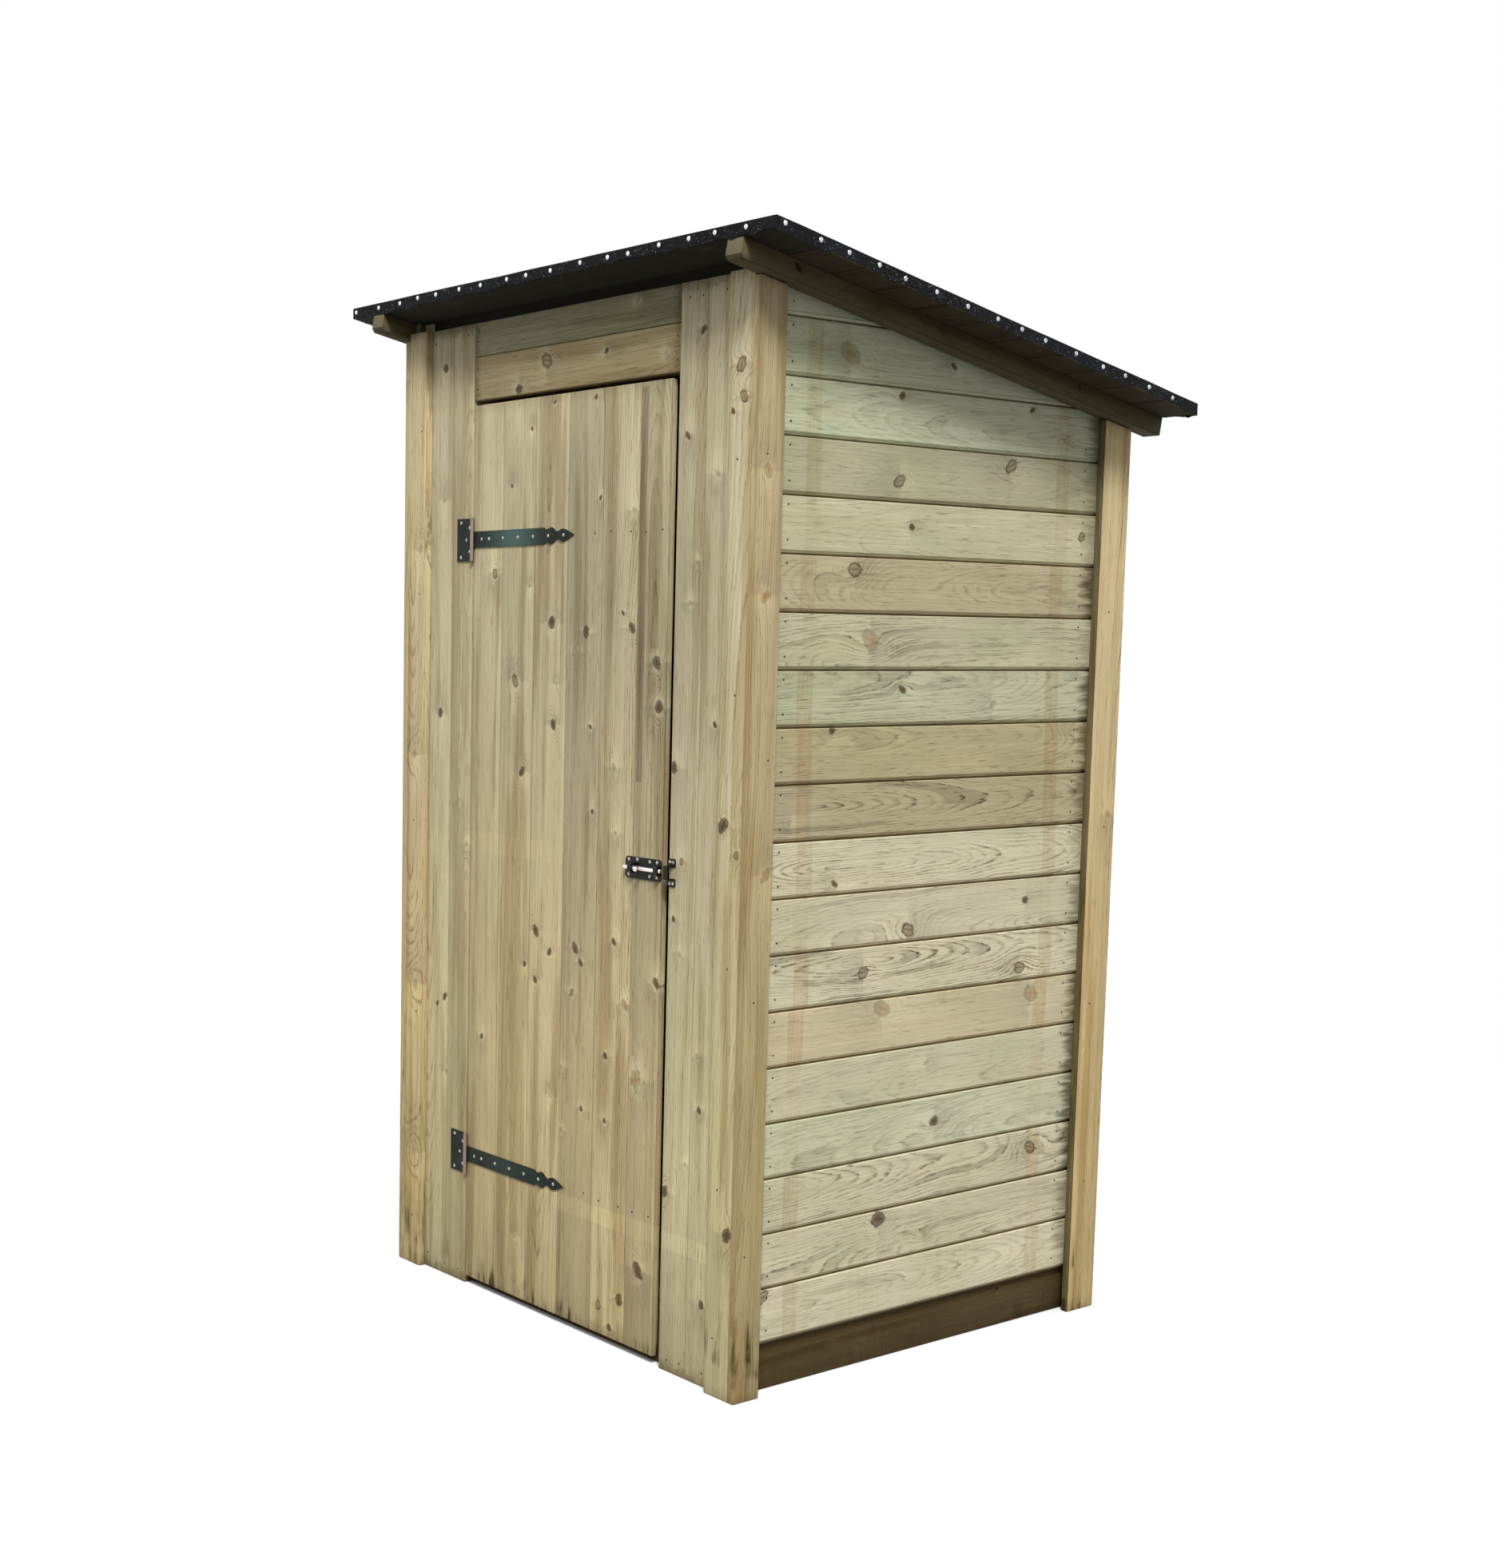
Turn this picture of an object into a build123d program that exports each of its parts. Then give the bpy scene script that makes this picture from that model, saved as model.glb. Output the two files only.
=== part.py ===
from build123d import *
from math import cos, radians, sin, tan
import os

# A one-door timber outhouse with a felt-covered lean-to roof.
# Millimetres. X runs left to right, Y from the front to the back, Z up from the ground.
# The origin is on the ground, under the middle of the roof.

os.makedirs("parts", exist_ok=True)

# Cabin, measured over its corner trims
cabin_width = 1200.0
cabin_depth = 1124.0

# Sawn stock
trim_width = 70.0
rear_side_trim_width = 90.0
trim_thickness = 18.0
board_thickness = 15.0
board_cover = 113.1
post_size = 38.0
rail_height = 45.0
beam_width = 50.0
beam_height = 120.0
floor_thickness = 18.0
board_gap = 2.0

# Joints between the wall boards
rebate_height = 4.0
rebate_depth = 6.0
rebate_chamfer = 5.0
groove_size = 3.0
side_cladding_bottom = 100.5

# Roof
roof_pitch = 10.8
side_overhang = 115.0
front_overhang = 76.0
rear_overhang = 76.0
bearer_seat_height = 2205.0
front_wall_rise = 13.0
bearer_width = 44.0
bearer_height = 40.0
bearer_chamfer = 8.0
roof_board_count = 11
roof_board_thickness = 22.0
felt_thickness = 3.0
trim_top_gap = 3.0
rear_trim_drop = 12.0
rear_rail_depth = 90.0

# Doorway and door
doorway_left = -346.5
doorway_width = 699.5
header_board_height = 95.0
upper_header_height = 76.0
door_bottom = 18.0
door_head_gap = 11.0
door_side_gap = 5.0
door_latch_gap = 22.5
latch_post_reach = 17.0
door_first_board = 109.0
door_last_board = 93.0
door_board_count = 6
front_board_width = 81.5
ledge_height = 95.0
ledge_thickness = 20.0
ledge_inset = 42.0
mid_rail_height = 1100.0

# T-hinges: a plate on the wall and an ornamental strap on the door
upper_hinge_inset = 299.0
lower_hinge_inset = 294.0
hinge_metal = 2.5
hinge_plate_width = 61.0
hinge_plate_height = 96.0
knuckle_diameter = 9.0
knuckle_gap = 0.5
knuckle_notch = 6.5
pin_diameter = 3.8
pin_clearance = 0.3
pin_end = 2.0
strap_width = 36.0
strap_straight = 264.0
strap_length = 368.0
# Ornamental head: shares of its length and of half the strap's width
strap_head = [(0.0, 1.0), (0.09, 0.76), (0.25, 1.0), (0.44, 0.43), (0.58, 0.71), (0.79, 0.5), (1.0, 0.0)]

# Sliding bolt on the door, and its keeper on the wall
latch_height = 1044.5
latch_plate_length = 114.0
latch_plate_height = 45.0
latch_plate_corner = 8.0
latch_metal = 2.0
bolt_diameter = 9.0
bolt_clearance = 1.0
bolt_length = 116.0
bolt_overrun = 3.5
bolt_end_chamfer = 1.5
guide_clearance = 0.5
guide_height = 20.0
guide_length = 12.0
rear_guide_inset = 20.0
knob_inset = 64.0
knob_reach = 12.0
knob_diameter = 12.0
knob_stem_diameter = 6.0
keeper_overhang = 2.0
keeper_width = 22.0
keeper_height = 58.0
keeper_corner = 3.0
keeper_bridge_width = 14.0
keeper_bridge_height = 28.0

# Planes that the pieces meet at
slope = tan(radians(roof_pitch))
bearer_nose = (bearer_height - bearer_chamfer) * sin(radians(roof_pitch))
front_reach = front_overhang - felt_thickness + bearer_nose
y_front = front_reach - (cabin_depth + front_reach + rear_overhang) / 2
y_rear = y_front + cabin_depth
x_side = cabin_width / 2
x_wall = x_side - trim_thickness
x_frame = x_wall - board_thickness
x_post = x_frame - post_size
y_wall = y_front + trim_thickness
y_frame = y_wall + board_thickness
y_post = y_frame + post_size
y_rear_wall = y_rear - trim_thickness
y_rear_frame = y_rear_wall - board_thickness
y_rear_post = y_rear_frame - post_size
roof_seat_height = bearer_seat_height + bearer_height / cos(radians(roof_pitch))
front_wall_height = bearer_seat_height + front_wall_rise
header_joint = front_wall_height - upper_header_height
doorway_height = header_joint - header_board_height
doorway_right = doorway_left + doorway_width
x_latch_post = doorway_right - latch_post_reach
door_left = doorway_left + door_side_gap
door_right = doorway_right - door_latch_gap
door_top = doorway_height - door_head_gap
hinge_heights = {"upper": door_top - upper_hinge_inset, "lower": door_bottom + lower_hinge_inset}
y_beam = y_frame + door_side_gap
hinge_x = (doorway_left + door_left) / 2
hinge_y = y_wall - knuckle_diameter / 2 - pin_clearance
bolt_y = y_wall - latch_metal - bolt_clearance - bolt_diameter / 2


def roof_underside(y):
    """Height of the underside of the roof boards at the depth y."""
    return roof_seat_height - slope * (y - y_front)


def roof_plane(drop=0.0):
    """The sloping plane of the roof boards' underside, lowered by drop."""
    return Plane(
        origin=(0, y_front, roof_seat_height - drop),
        x_dir=(1, 0, 0),
        z_dir=(0, sin(radians(roof_pitch)), cos(radians(roof_pitch))),
    )


def box_between(corner, opposite):
    """A plain sawn piece between two opposite corners."""
    size = [b - a for a, b in zip(corner, opposite)]
    with BuildPart() as piece:
        with Locations(corner):
            Box(*size, align=(Align.MIN, Align.MIN, Align.MIN))
    return piece


def box_to_roof(corner, opposite, drop=0.0):
    """A plain sawn piece whose top is cut to the slope of the roof."""
    (x0, y0, z0), (x1, y1) = corner, opposite
    with BuildPart() as piece:
        with Locations(corner):
            Box(x1 - x0, y1 - y0, roof_seat_height - z0, align=(Align.MIN, Align.MIN, Align.MIN))
        split(bisect_by=roof_plane(drop), keep=Keep.BOTTOM)
    return piece


def roof_strip(x0, x1, y0, y1, bottom, top):
    """A length that follows the slope, upright at its ends, between two heights over the roof plane."""
    outline = [
        (y0, roof_underside(y0) + bottom),
        (y1, roof_underside(y1) + bottom),
        (y1, roof_underside(y1) + top),
        (y0, roof_underside(y0) + top),
    ]
    with BuildPart() as piece:
        with BuildSketch(Plane.YZ.offset(x0)):
            with BuildLine():
                Polyline(*outline, close=True)
            make_face()
        extrude(amount=x1 - x0)
    return piece


def mirrored(piece):
    """The matching piece on the other side of the cabin."""
    with BuildPart() as other:
        mirror(piece.part, about=Plane.YZ)
    return other


def together(*pieces):
    """Like pieces that don't touch, kept as one node."""
    with BuildPart() as group:
        for piece in pieces:
            add(piece.part)
    return group


def save(piece, name):
    """Labels a finished piece and writes it."""
    piece.part.label = name
    export_step(piece.part, f"parts/{name}.step")


# ---------------------------------------------------------------- base and floor
base_beam_right = box_between(
    (x_frame - beam_width, y_frame, 0),
    (x_frame, y_rear_frame, beam_height),
)
save(base_beam_right, "base_beam_right")
save(mirrored(base_beam_right), "base_beam_left")

x_beam = x_frame - beam_width
base_beam_front = box_between((-x_beam, y_beam, 0), (x_beam, y_beam + beam_width, beam_height))
save(base_beam_front, "base_beam_front")

base_beam_rear = box_between(
    (-x_beam, y_rear_frame - beam_width, 0),
    (x_beam, y_rear_frame, beam_height),
)
save(base_beam_rear, "base_beam_rear")

floor_count = round((y_rear_post - y_post) / board_cover)
floor_pitch = (y_rear_post - y_post) / floor_count
with BuildPart() as floor_boards:
    with BuildSketch(Plane.XY.offset(beam_height)):
        with Locations((0, (y_post + y_rear_post) / 2)):
            with GridLocations(0, floor_pitch, 1, floor_count):
                Rectangle(2 * x_post - board_gap, floor_pitch - board_gap)
    extrude(amount=floor_thickness)
save(floor_boards, "floor_boards")

# ---------------------------------------------------------------- frame
rail_drop = rail_height / cos(radians(roof_pitch))

corner_post_front_right = box_to_roof(
    (x_post, y_frame, beam_height),
    (x_frame, y_post),
    drop=rail_drop,
)
save(corner_post_front_right, "corner_post_front_right")
save(mirrored(corner_post_front_right), "corner_post_front_left")

corner_post_rear_right = box_to_roof(
    (x_post, y_rear_post, beam_height),
    (x_frame, y_rear_frame),
    drop=rail_drop,
)
save(corner_post_rear_right, "corner_post_rear_right")
save(mirrored(corner_post_rear_right), "corner_post_rear_left")

side_top_rail_right = roof_strip(x_post, x_frame, y_frame, y_rear_frame, -rail_drop, 0)
save(side_top_rail_right, "side_top_rail_right")
save(mirrored(side_top_rail_right), "side_top_rail_left")

front_top_rail = box_to_roof((-x_post, y_frame, header_joint), (x_post, y_post))
save(front_top_rail, "front_top_rail")

rear_rail_bottom = roof_underside(y_rear_frame) - rear_rail_depth
rear_top_rail = box_to_roof((-x_post, y_rear_post, rear_rail_bottom), (x_post, y_rear_frame))
save(rear_top_rail, "rear_top_rail")

door_post_left = box_between(
    (doorway_left - post_size, y_frame, beam_height),
    (doorway_left, y_post, header_joint),
)
save(door_post_left, "door_post_left")

door_post_right = box_between(
    (x_latch_post, y_frame, beam_height),
    (x_latch_post + post_size, y_post, header_joint),
)
save(door_post_right, "door_post_right")

door_head_rail = box_between(
    (doorway_left, y_frame, doorway_height),
    (x_latch_post, y_post, doorway_height + rail_height),
)
save(door_head_rail, "door_head_rail")

mid_rail_top = mid_rail_height + rail_height
side_mid_rail = box_between(
    (x_post, y_post, mid_rail_height),
    (x_frame, y_rear_post, mid_rail_top),
)
save(together(side_mid_rail, mirrored(side_mid_rail)), "side_mid_rails")

rear_mid_rail = box_between(
    (-x_post, y_rear_post, mid_rail_height),
    (x_post, y_rear_frame, mid_rail_top),
)
save(rear_mid_rail, "rear_mid_rail")

front_mid_rail_left = box_between(
    (-x_post, y_frame, mid_rail_height),
    (doorway_left - post_size, y_post, mid_rail_top),
)
front_mid_rail_right = box_between(
    (x_latch_post + post_size, y_frame, mid_rail_height),
    (x_post, y_post, mid_rail_top),
)
save(together(front_mid_rail_left, front_mid_rail_right), "front_mid_rails")


# ---------------------------------------------------------------- wall boards
def lapped_boards(plane, face, top, length):
    """Horizontal rebated boards: drawn in section, with their outer face looking along the plane's x."""
    bottom = side_cladding_bottom
    count = int((top - rail_height - bottom) / board_cover)
    joints = [(face, bottom + board_cover * (i + 1)) for i in range(count)]
    rebate = [
        (0, 0),
        (0, rebate_height + rebate_chamfer),
        (-rebate_chamfer, rebate_height),
        (-rebate_depth, rebate_height),
        (-rebate_depth, 0),
    ]
    with BuildPart() as panel:
        with BuildSketch(plane):
            with Locations((face, bottom)):
                Rectangle(board_thickness, top - bottom, align=(Align.MAX, Align.MIN))
            with Locations(*joints):
                Polygon(*rebate, align=None, mode=Mode.SUBTRACT)
        extrude(amount=length)
        split(bisect_by=roof_plane(), keep=Keep.BOTTOM)
    return panel


def upright_boards(x0, x1, joints, z0, z1):
    """Upright tongued boards, flush with the front wall, with a small V where they meet."""
    with BuildPart() as panel:
        with BuildSketch(Plane.XY.offset(z0)):
            with Locations((x0, y_wall)):
                Rectangle(x1 - x0, board_thickness, align=(Align.MIN, Align.MIN))
            with Locations(*[(x, y_wall) for x in joints]):
                Rectangle(groove_size, groove_size, rotation=45, mode=Mode.SUBTRACT)
        extrude(amount=z1 - z0)
    return panel


side_cladding_right = lapped_boards(
    Plane.XZ.offset(-y_rear_wall),
    x_wall,
    roof_seat_height,
    y_rear_wall - y_wall,
)
save(side_cladding_right, "side_cladding_right")
save(mirrored(side_cladding_right), "side_cladding_left")

rear_cladding = lapped_boards(
    Plane.YZ.offset(-x_frame),
    y_rear_wall,
    roof_underside(y_rear_frame),
    2 * x_frame,
)
save(rear_cladding, "rear_cladding")

front_cladding_left = upright_boards(
    -x_frame,
    doorway_left,
    [doorway_left - front_board_width],
    0,
    front_wall_height,
)
save(front_cladding_left, "front_cladding_left")

front_cladding_right = upright_boards(
    doorway_right,
    x_frame,
    [doorway_right + front_board_width],
    0,
    front_wall_height,
)
save(front_cladding_right, "front_cladding_right")

header_board_lower = box_between(
    (doorway_left, y_wall, doorway_height),
    (doorway_right, y_frame, header_joint),
)
save(header_board_lower, "header_board_lower")

header_board_upper = box_between(
    (doorway_left, y_wall, header_joint + board_gap / 2),
    (doorway_right, y_frame, front_wall_height),
)
save(header_board_upper, "header_board_upper")

# ---------------------------------------------------------------- corner trims
front_trim_right = box_between(
    (x_wall - trim_width, y_front, 0),
    (x_wall, y_wall, front_wall_height),
)
save(front_trim_right, "front_trim_right")
save(mirrored(front_trim_right), "front_trim_left")

trim_drop = bearer_height / cos(radians(roof_pitch)) + trim_top_gap
side_trim_front_right = box_to_roof(
    (x_wall, y_front, 0),
    (x_side, y_front + trim_width),
    drop=trim_drop,
)
save(side_trim_front_right, "side_trim_front_right")
save(mirrored(side_trim_front_right), "side_trim_front_left")

side_trim_rear_right = box_to_roof(
    (x_wall, y_rear - rear_side_trim_width, 0),
    (x_side, y_rear),
    drop=trim_drop,
)
save(side_trim_rear_right, "side_trim_rear_right")
save(mirrored(side_trim_rear_right), "side_trim_rear_left")

rear_trim_right = box_between(
    (x_wall - trim_width, y_rear_wall, 0),
    (x_wall, y_rear, roof_underside(y_rear) - rear_trim_drop),
)
save(rear_trim_right, "rear_trim_right")
save(mirrored(rear_trim_right), "rear_trim_left")

# ---------------------------------------------------------------- roof
y_boards_front = y_front - front_overhang + felt_thickness
y_boards_rear = y_rear + rear_overhang - felt_thickness
x_boards = x_side + side_overhang - felt_thickness
bearer_length = (y_boards_rear - y_boards_front) / cos(radians(roof_pitch))

with BuildPart() as roof_bearer_right:
    with BuildSketch(Plane.YZ.offset(x_wall)):
        with Locations(Location((y_boards_front, roof_underside(y_boards_front), 0), (0, 0, -roof_pitch))):
            Rectangle(bearer_length, bearer_height, align=(Align.MIN, Align.MAX))
    extrude(amount=bearer_width)
    front_arris = edges().filter_by(Axis.X).group_by(Axis.Y)[0]
    chamfer(front_arris, bearer_chamfer)
save(roof_bearer_right, "roof_bearer_right")
save(mirrored(roof_bearer_right), "roof_bearer_left")

roof_board_pitch = (y_boards_rear - y_boards_front) / roof_board_count
board_rise = roof_board_thickness / cos(radians(roof_pitch))
roof_board_list = []
for i in range(roof_board_count):
    y_board = y_boards_front + i * roof_board_pitch
    y_board_end = y_board + roof_board_pitch - (board_gap if i < roof_board_count - 1 else 0)
    roof_board_list.append(roof_strip(-x_boards, x_boards, y_board, y_board_end, 0, board_rise))
save(together(*roof_board_list), "roof_boards")

felt_rise = board_rise + felt_thickness / cos(radians(roof_pitch))
with BuildPart() as roof_felt:
    x_felt = x_boards + felt_thickness
    y_felt = y_boards_front - felt_thickness
    y_felt_end = y_boards_rear + felt_thickness
    add(roof_strip(-x_felt, x_felt, y_felt, y_felt_end, 0, felt_rise).part)
    inside = roof_strip(-x_boards, x_boards, y_boards_front, y_boards_rear, -board_rise, board_rise)
    add(inside.part, mode=Mode.SUBTRACT)
save(roof_felt, "roof_felt")

# ---------------------------------------------------------------- door
door_inner_boards = door_right - door_left - door_first_board - door_last_board
door_board_cover = door_inner_boards / (door_board_count - 2)
door_joints = [
    door_left + door_first_board + i * door_board_cover
    for i in range(door_board_count - 1)
]
door_leaf = upright_boards(door_left, door_right, door_joints, door_bottom, door_top)
save(door_leaf, "door_leaf")

for name, height in hinge_heights.items():
    ledge = box_between(
        (door_left + ledge_inset, y_frame, height - ledge_height / 2),
        (door_right - ledge_inset, y_frame + ledge_thickness, height + ledge_height / 2),
    )
    save(ledge, f"door_ledge_{name}")

# ---------------------------------------------------------------- hinges
wall_face = Plane.XZ.offset(-y_wall)


def hinge_plate(height):
    """The fixed half: a plate, its two outer knuckles and the pin that is held in them."""
    knuckle_height = (hinge_plate_height - strap_width) / 2 - knuckle_gap
    knuckle_offset = (hinge_plate_height - knuckle_height) / 2
    with BuildPart() as plate:
        with BuildSketch(wall_face):
            with Locations((hinge_x, height)):
                Rectangle(hinge_plate_width, hinge_plate_height, align=(Align.MAX, Align.CENTER))
                Rectangle(
                    knuckle_notch,
                    strap_width + 2 * knuckle_gap,
                    align=(Align.MAX, Align.CENTER),
                    mode=Mode.SUBTRACT,
                )
        extrude(amount=hinge_metal)
        with Locations(
            (hinge_x, hinge_y, height + knuckle_offset),
            (hinge_x, hinge_y, height - knuckle_offset),
        ):
            Cylinder(knuckle_diameter / 2, knuckle_height)
        with Locations((hinge_x, hinge_y, height)):
            Cylinder(pin_diameter / 2, hinge_plate_height + 2 * pin_end)
    return plate


def hinge_strap(height):
    """The moving half: a long strap with a spear-shaped head, rolled round the pin at its other end."""
    half_width = strap_width / 2
    head_length = strap_length - strap_straight
    head = [(strap_straight + u * head_length, v * half_width) for u, v in strap_head]
    with BuildPart() as strap:
        with BuildSketch(wall_face):
            with Locations((hinge_x, height)):
                with BuildSketch(Plane.XY, mode=Mode.PRIVATE) as outline:
                    with BuildLine():
                        Line((0, 0), (0, half_width))
                        Line((0, half_width), head[0])
                        Spline(*head)
                        mirror(about=Plane.XZ)
                    make_face()
                add(outline.sketch)
        extrude(amount=hinge_metal)
        with Locations((hinge_x, hinge_y, height)):
            Cylinder(knuckle_diameter / 2, strap_width)
            Cylinder(pin_diameter / 2 + pin_clearance, strap_width, mode=Mode.SUBTRACT)
    return strap


for name, height in hinge_heights.items():
    save(hinge_plate(height), f"{name}_hinge_plate")
    save(hinge_strap(height), f"{name}_hinge_strap")

# ---------------------------------------------------------------- latch
x_plate = door_right - latch_plate_length / 2
x_bolt_end = door_right + bolt_overrun
x_front_guide = door_right - guide_length / 2
x_rear_guide = door_right - latch_plate_length + rear_guide_inset + guide_length / 2
guide_wall = 2 * latch_metal
guide_reach = y_wall - bolt_y + bolt_diameter / 2 + guide_clearance + latch_metal

with BuildPart() as latch_plate:
    with BuildSketch(wall_face):
        with Locations((x_plate, latch_height)):
            RectangleRounded(latch_plate_length, latch_plate_height, latch_plate_corner)
    extrude(amount=latch_metal)
    with BuildSketch(wall_face):
        with Locations((x_front_guide, latch_height), (x_rear_guide, latch_height)):
            Rectangle(guide_length, guide_height)
    extrude(amount=guide_reach)
    outer_arrises = edges().filter_by(Axis.X).group_by(Axis.Y)[0]
    fillet(outer_arrises, guide_wall)
    with Locations(Location((x_plate, bolt_y, latch_height), (0, 90, 0))):
        Cylinder(bolt_diameter / 2 + guide_clearance, latch_plate_length + guide_wall, mode=Mode.SUBTRACT)
save(latch_plate, "latch_plate")

with BuildPart() as latch_bolt:
    with Locations(Location((x_bolt_end - bolt_length / 2, bolt_y, latch_height), (0, 90, 0))):
        Cylinder(bolt_diameter / 2, bolt_length)
    chamfer(edges().group_by(Axis.X)[-1], bolt_end_chamfer)
    chamfer(edges().group_by(Axis.X)[0], bolt_end_chamfer)
    with Locations(Location((x_bolt_end - knob_inset, bolt_y, latch_height), (90, 0, 0))):
        Cylinder(
            knob_stem_diameter / 2,
            knob_reach,
            align=(Align.CENTER, Align.CENTER, Align.MIN),
        )
    with Locations((x_bolt_end - knob_inset, bolt_y - knob_reach, latch_height)):
        Sphere(knob_diameter / 2)
save(latch_bolt, "latch_bolt")

x_keeper = doorway_right - keeper_overhang
with BuildPart() as latch_keeper:
    with BuildSketch(wall_face):
        with Locations((x_keeper + keeper_width / 2, latch_height)):
            RectangleRounded(keeper_width, keeper_height, keeper_corner)
    extrude(amount=latch_metal)
    with BuildSketch(wall_face):
        with Locations((x_keeper + keeper_bridge_width / 2, latch_height)):
            Rectangle(keeper_bridge_width, keeper_bridge_height)
    extrude(amount=guide_reach + bolt_clearance)
    with BuildSketch(wall_face):
        with Locations((x_keeper + keeper_width / 2, latch_height)):
            Rectangle(2 * keeper_width, keeper_bridge_height - 2 * latch_metal)
    extrude(amount=guide_reach + bolt_clearance - latch_metal, mode=Mode.SUBTRACT)
save(latch_keeper, "latch_keeper")
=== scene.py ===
import math
import random
from types import SimpleNamespace

import bmesh
import bpy
from mathutils import Matrix, Vector, noise


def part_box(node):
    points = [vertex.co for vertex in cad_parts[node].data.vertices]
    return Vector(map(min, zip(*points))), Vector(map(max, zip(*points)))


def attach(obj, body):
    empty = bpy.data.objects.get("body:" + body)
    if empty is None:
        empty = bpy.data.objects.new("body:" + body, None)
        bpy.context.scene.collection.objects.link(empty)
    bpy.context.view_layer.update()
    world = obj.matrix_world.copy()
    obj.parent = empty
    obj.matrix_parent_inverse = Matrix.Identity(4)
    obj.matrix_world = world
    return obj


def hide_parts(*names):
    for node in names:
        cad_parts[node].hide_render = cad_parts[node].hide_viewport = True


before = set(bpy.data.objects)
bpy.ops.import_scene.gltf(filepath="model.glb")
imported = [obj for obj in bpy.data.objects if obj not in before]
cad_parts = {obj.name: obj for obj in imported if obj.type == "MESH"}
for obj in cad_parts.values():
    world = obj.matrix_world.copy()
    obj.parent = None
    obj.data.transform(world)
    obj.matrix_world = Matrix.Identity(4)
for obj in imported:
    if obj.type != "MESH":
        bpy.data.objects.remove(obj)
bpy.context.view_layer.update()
scene = bpy.context.scene
luck = random.Random(27)
xAxis, yAxis, zAxis = Vector((1, 0, 0)), Vector((0, 1, 0)), Vector((0, 0, 1))
print("frame loaded:", len(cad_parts), "nodes")

# small helpers for shader trees


def shade(code):
    parts = [int(code[i:i + 2], 16) / 255 for i in (0, 2, 4)]
    return tuple(p / 12.92 if p <= 0.04045 else ((p + 0.055) / 1.055) ** 2.4 for p in parts) + (1.0,)


def plug(tree, socket, value):
    if isinstance(value, bpy.types.NodeSocket):
        tree.links.new(value, socket)
    else:
        socket.default_value = value


def addNode(tree, kind, inputs=None, **settings):
    made = tree.nodes.new(kind)
    for key, value in settings.items():
        setattr(made, key, value)
    for key, value in (inputs or {}).items():
        plug(tree, made.inputs[key], value)
    return made


def calc(tree, operation, *values, clamp=False):
    made = addNode(tree, "ShaderNodeMath", operation=operation, use_clamp=clamp)
    for socket, value in zip(made.inputs, values):
        plug(tree, socket, value)
    return made.outputs[0]


def times(tree, first, *others):
    for value in others:
        first = calc(tree, "MULTIPLY", first, value)
    return first


def minus(tree, first, second):
    return calc(tree, "SUBTRACT", first, second)


def lengthOf(tree, a, b):
    return calc(tree, "SQRT", calc(tree, "ADD", times(tree, a, a), times(tree, b, b)))


def blend(tree, factor, first, second, mode="MIX"):
    made = addNode(tree, "ShaderNodeMix", data_type="RGBA", blend_type=mode, clamp_factor=True)
    for index, value in ((0, factor), (6, first), (7, second)):
        plug(tree, made.inputs[index], value)
    return made.outputs[2]


def stain(tree, factor, color, tint):
    return blend(tree, factor, color, tint, "MULTIPLY")


def fade(tree, value, low, high, start=0.0, end=1.0):
    made = addNode(tree, "ShaderNodeMapRange", interpolation_type="SMOOTHSTEP")
    for socket, number in zip(made.inputs, (value, low, high, start, end)):
        plug(tree, socket, number)
    return made.outputs[0]


def within(tree, value, low, high, soft):
    return times(tree, fade(tree, value, low, low + soft), fade(tree, value, high - soft, high, 1.0, 0.0))


def bell(tree, value, middle, spread):
    away = calc(tree, "DIVIDE", minus(tree, value, middle), spread)
    return calc(tree, "EXPONENT", times(tree, away, away, -1.0))


def centred(tree, value, gain, base=0.0):
    return calc(tree, "MULTIPLY_ADD", minus(tree, value, 0.5), gain, base)


def split3(tree, value):
    return addNode(tree, "ShaderNodeSeparateXYZ", {0: value}).outputs


def join3(tree, x, y, z):
    return addNode(tree, "ShaderNodeCombineXYZ", {0: x, 1: y, 2: z}).outputs[0]


def grey(tree, value):
    return join3(tree, value, value, value)


def cloud(tree, where, scale=1.0, detail=2.0, rough=0.55):
    settings = {"Vector": where, "Scale": scale, "Detail": detail, "Roughness": rough}
    return addNode(tree, "ShaderNodeTexNoise", settings).outputs


def newGroup(name, inputs, outputs):
    tree = bpy.data.node_groups.new(name, "ShaderNodeTree")
    kinds = {"v": "NodeSocketVector", "c": "NodeSocketColor", "f": "NodeSocketFloat"}
    for way, sockets in (("INPUT", inputs), ("OUTPUT", outputs)):
        for kind, labels in sockets.items():
            for label in labels:
                tree.interface.new_socket(name=label, in_out=way, socket_type=kinds[kind])
    return tree, tree.nodes.new("NodeGroupInput").outputs, tree.nodes.new("NodeGroupOutput").inputs


def useGroup(tree, group, inputs):
    return addNode(tree, "ShaderNodeGroup", inputs, node_tree=group).outputs


def newMaterial(name, rough, metallic, shine):
    material = bpy.data.materials.new(name)
    material.use_nodes = True
    tree = material.node_tree
    shader = tree.nodes["Principled BSDF"]
    for label, value in (("Roughness", rough), ("Metallic", metallic), ("Specular IOR Level", shine)):
        shader.inputs[label].default_value = value
    return material, tree, shader, addNode(tree, "ShaderNodeTexCoord").outputs["Object"]


def addBump(tree, shader, strength, distance, height):
    inputs = {"Strength": strength, "Distance": distance, "Height": height}
    plug(tree, shader.inputs["Normal"], addNode(tree, "ShaderNodeBump", inputs).outputs[0])


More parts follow.
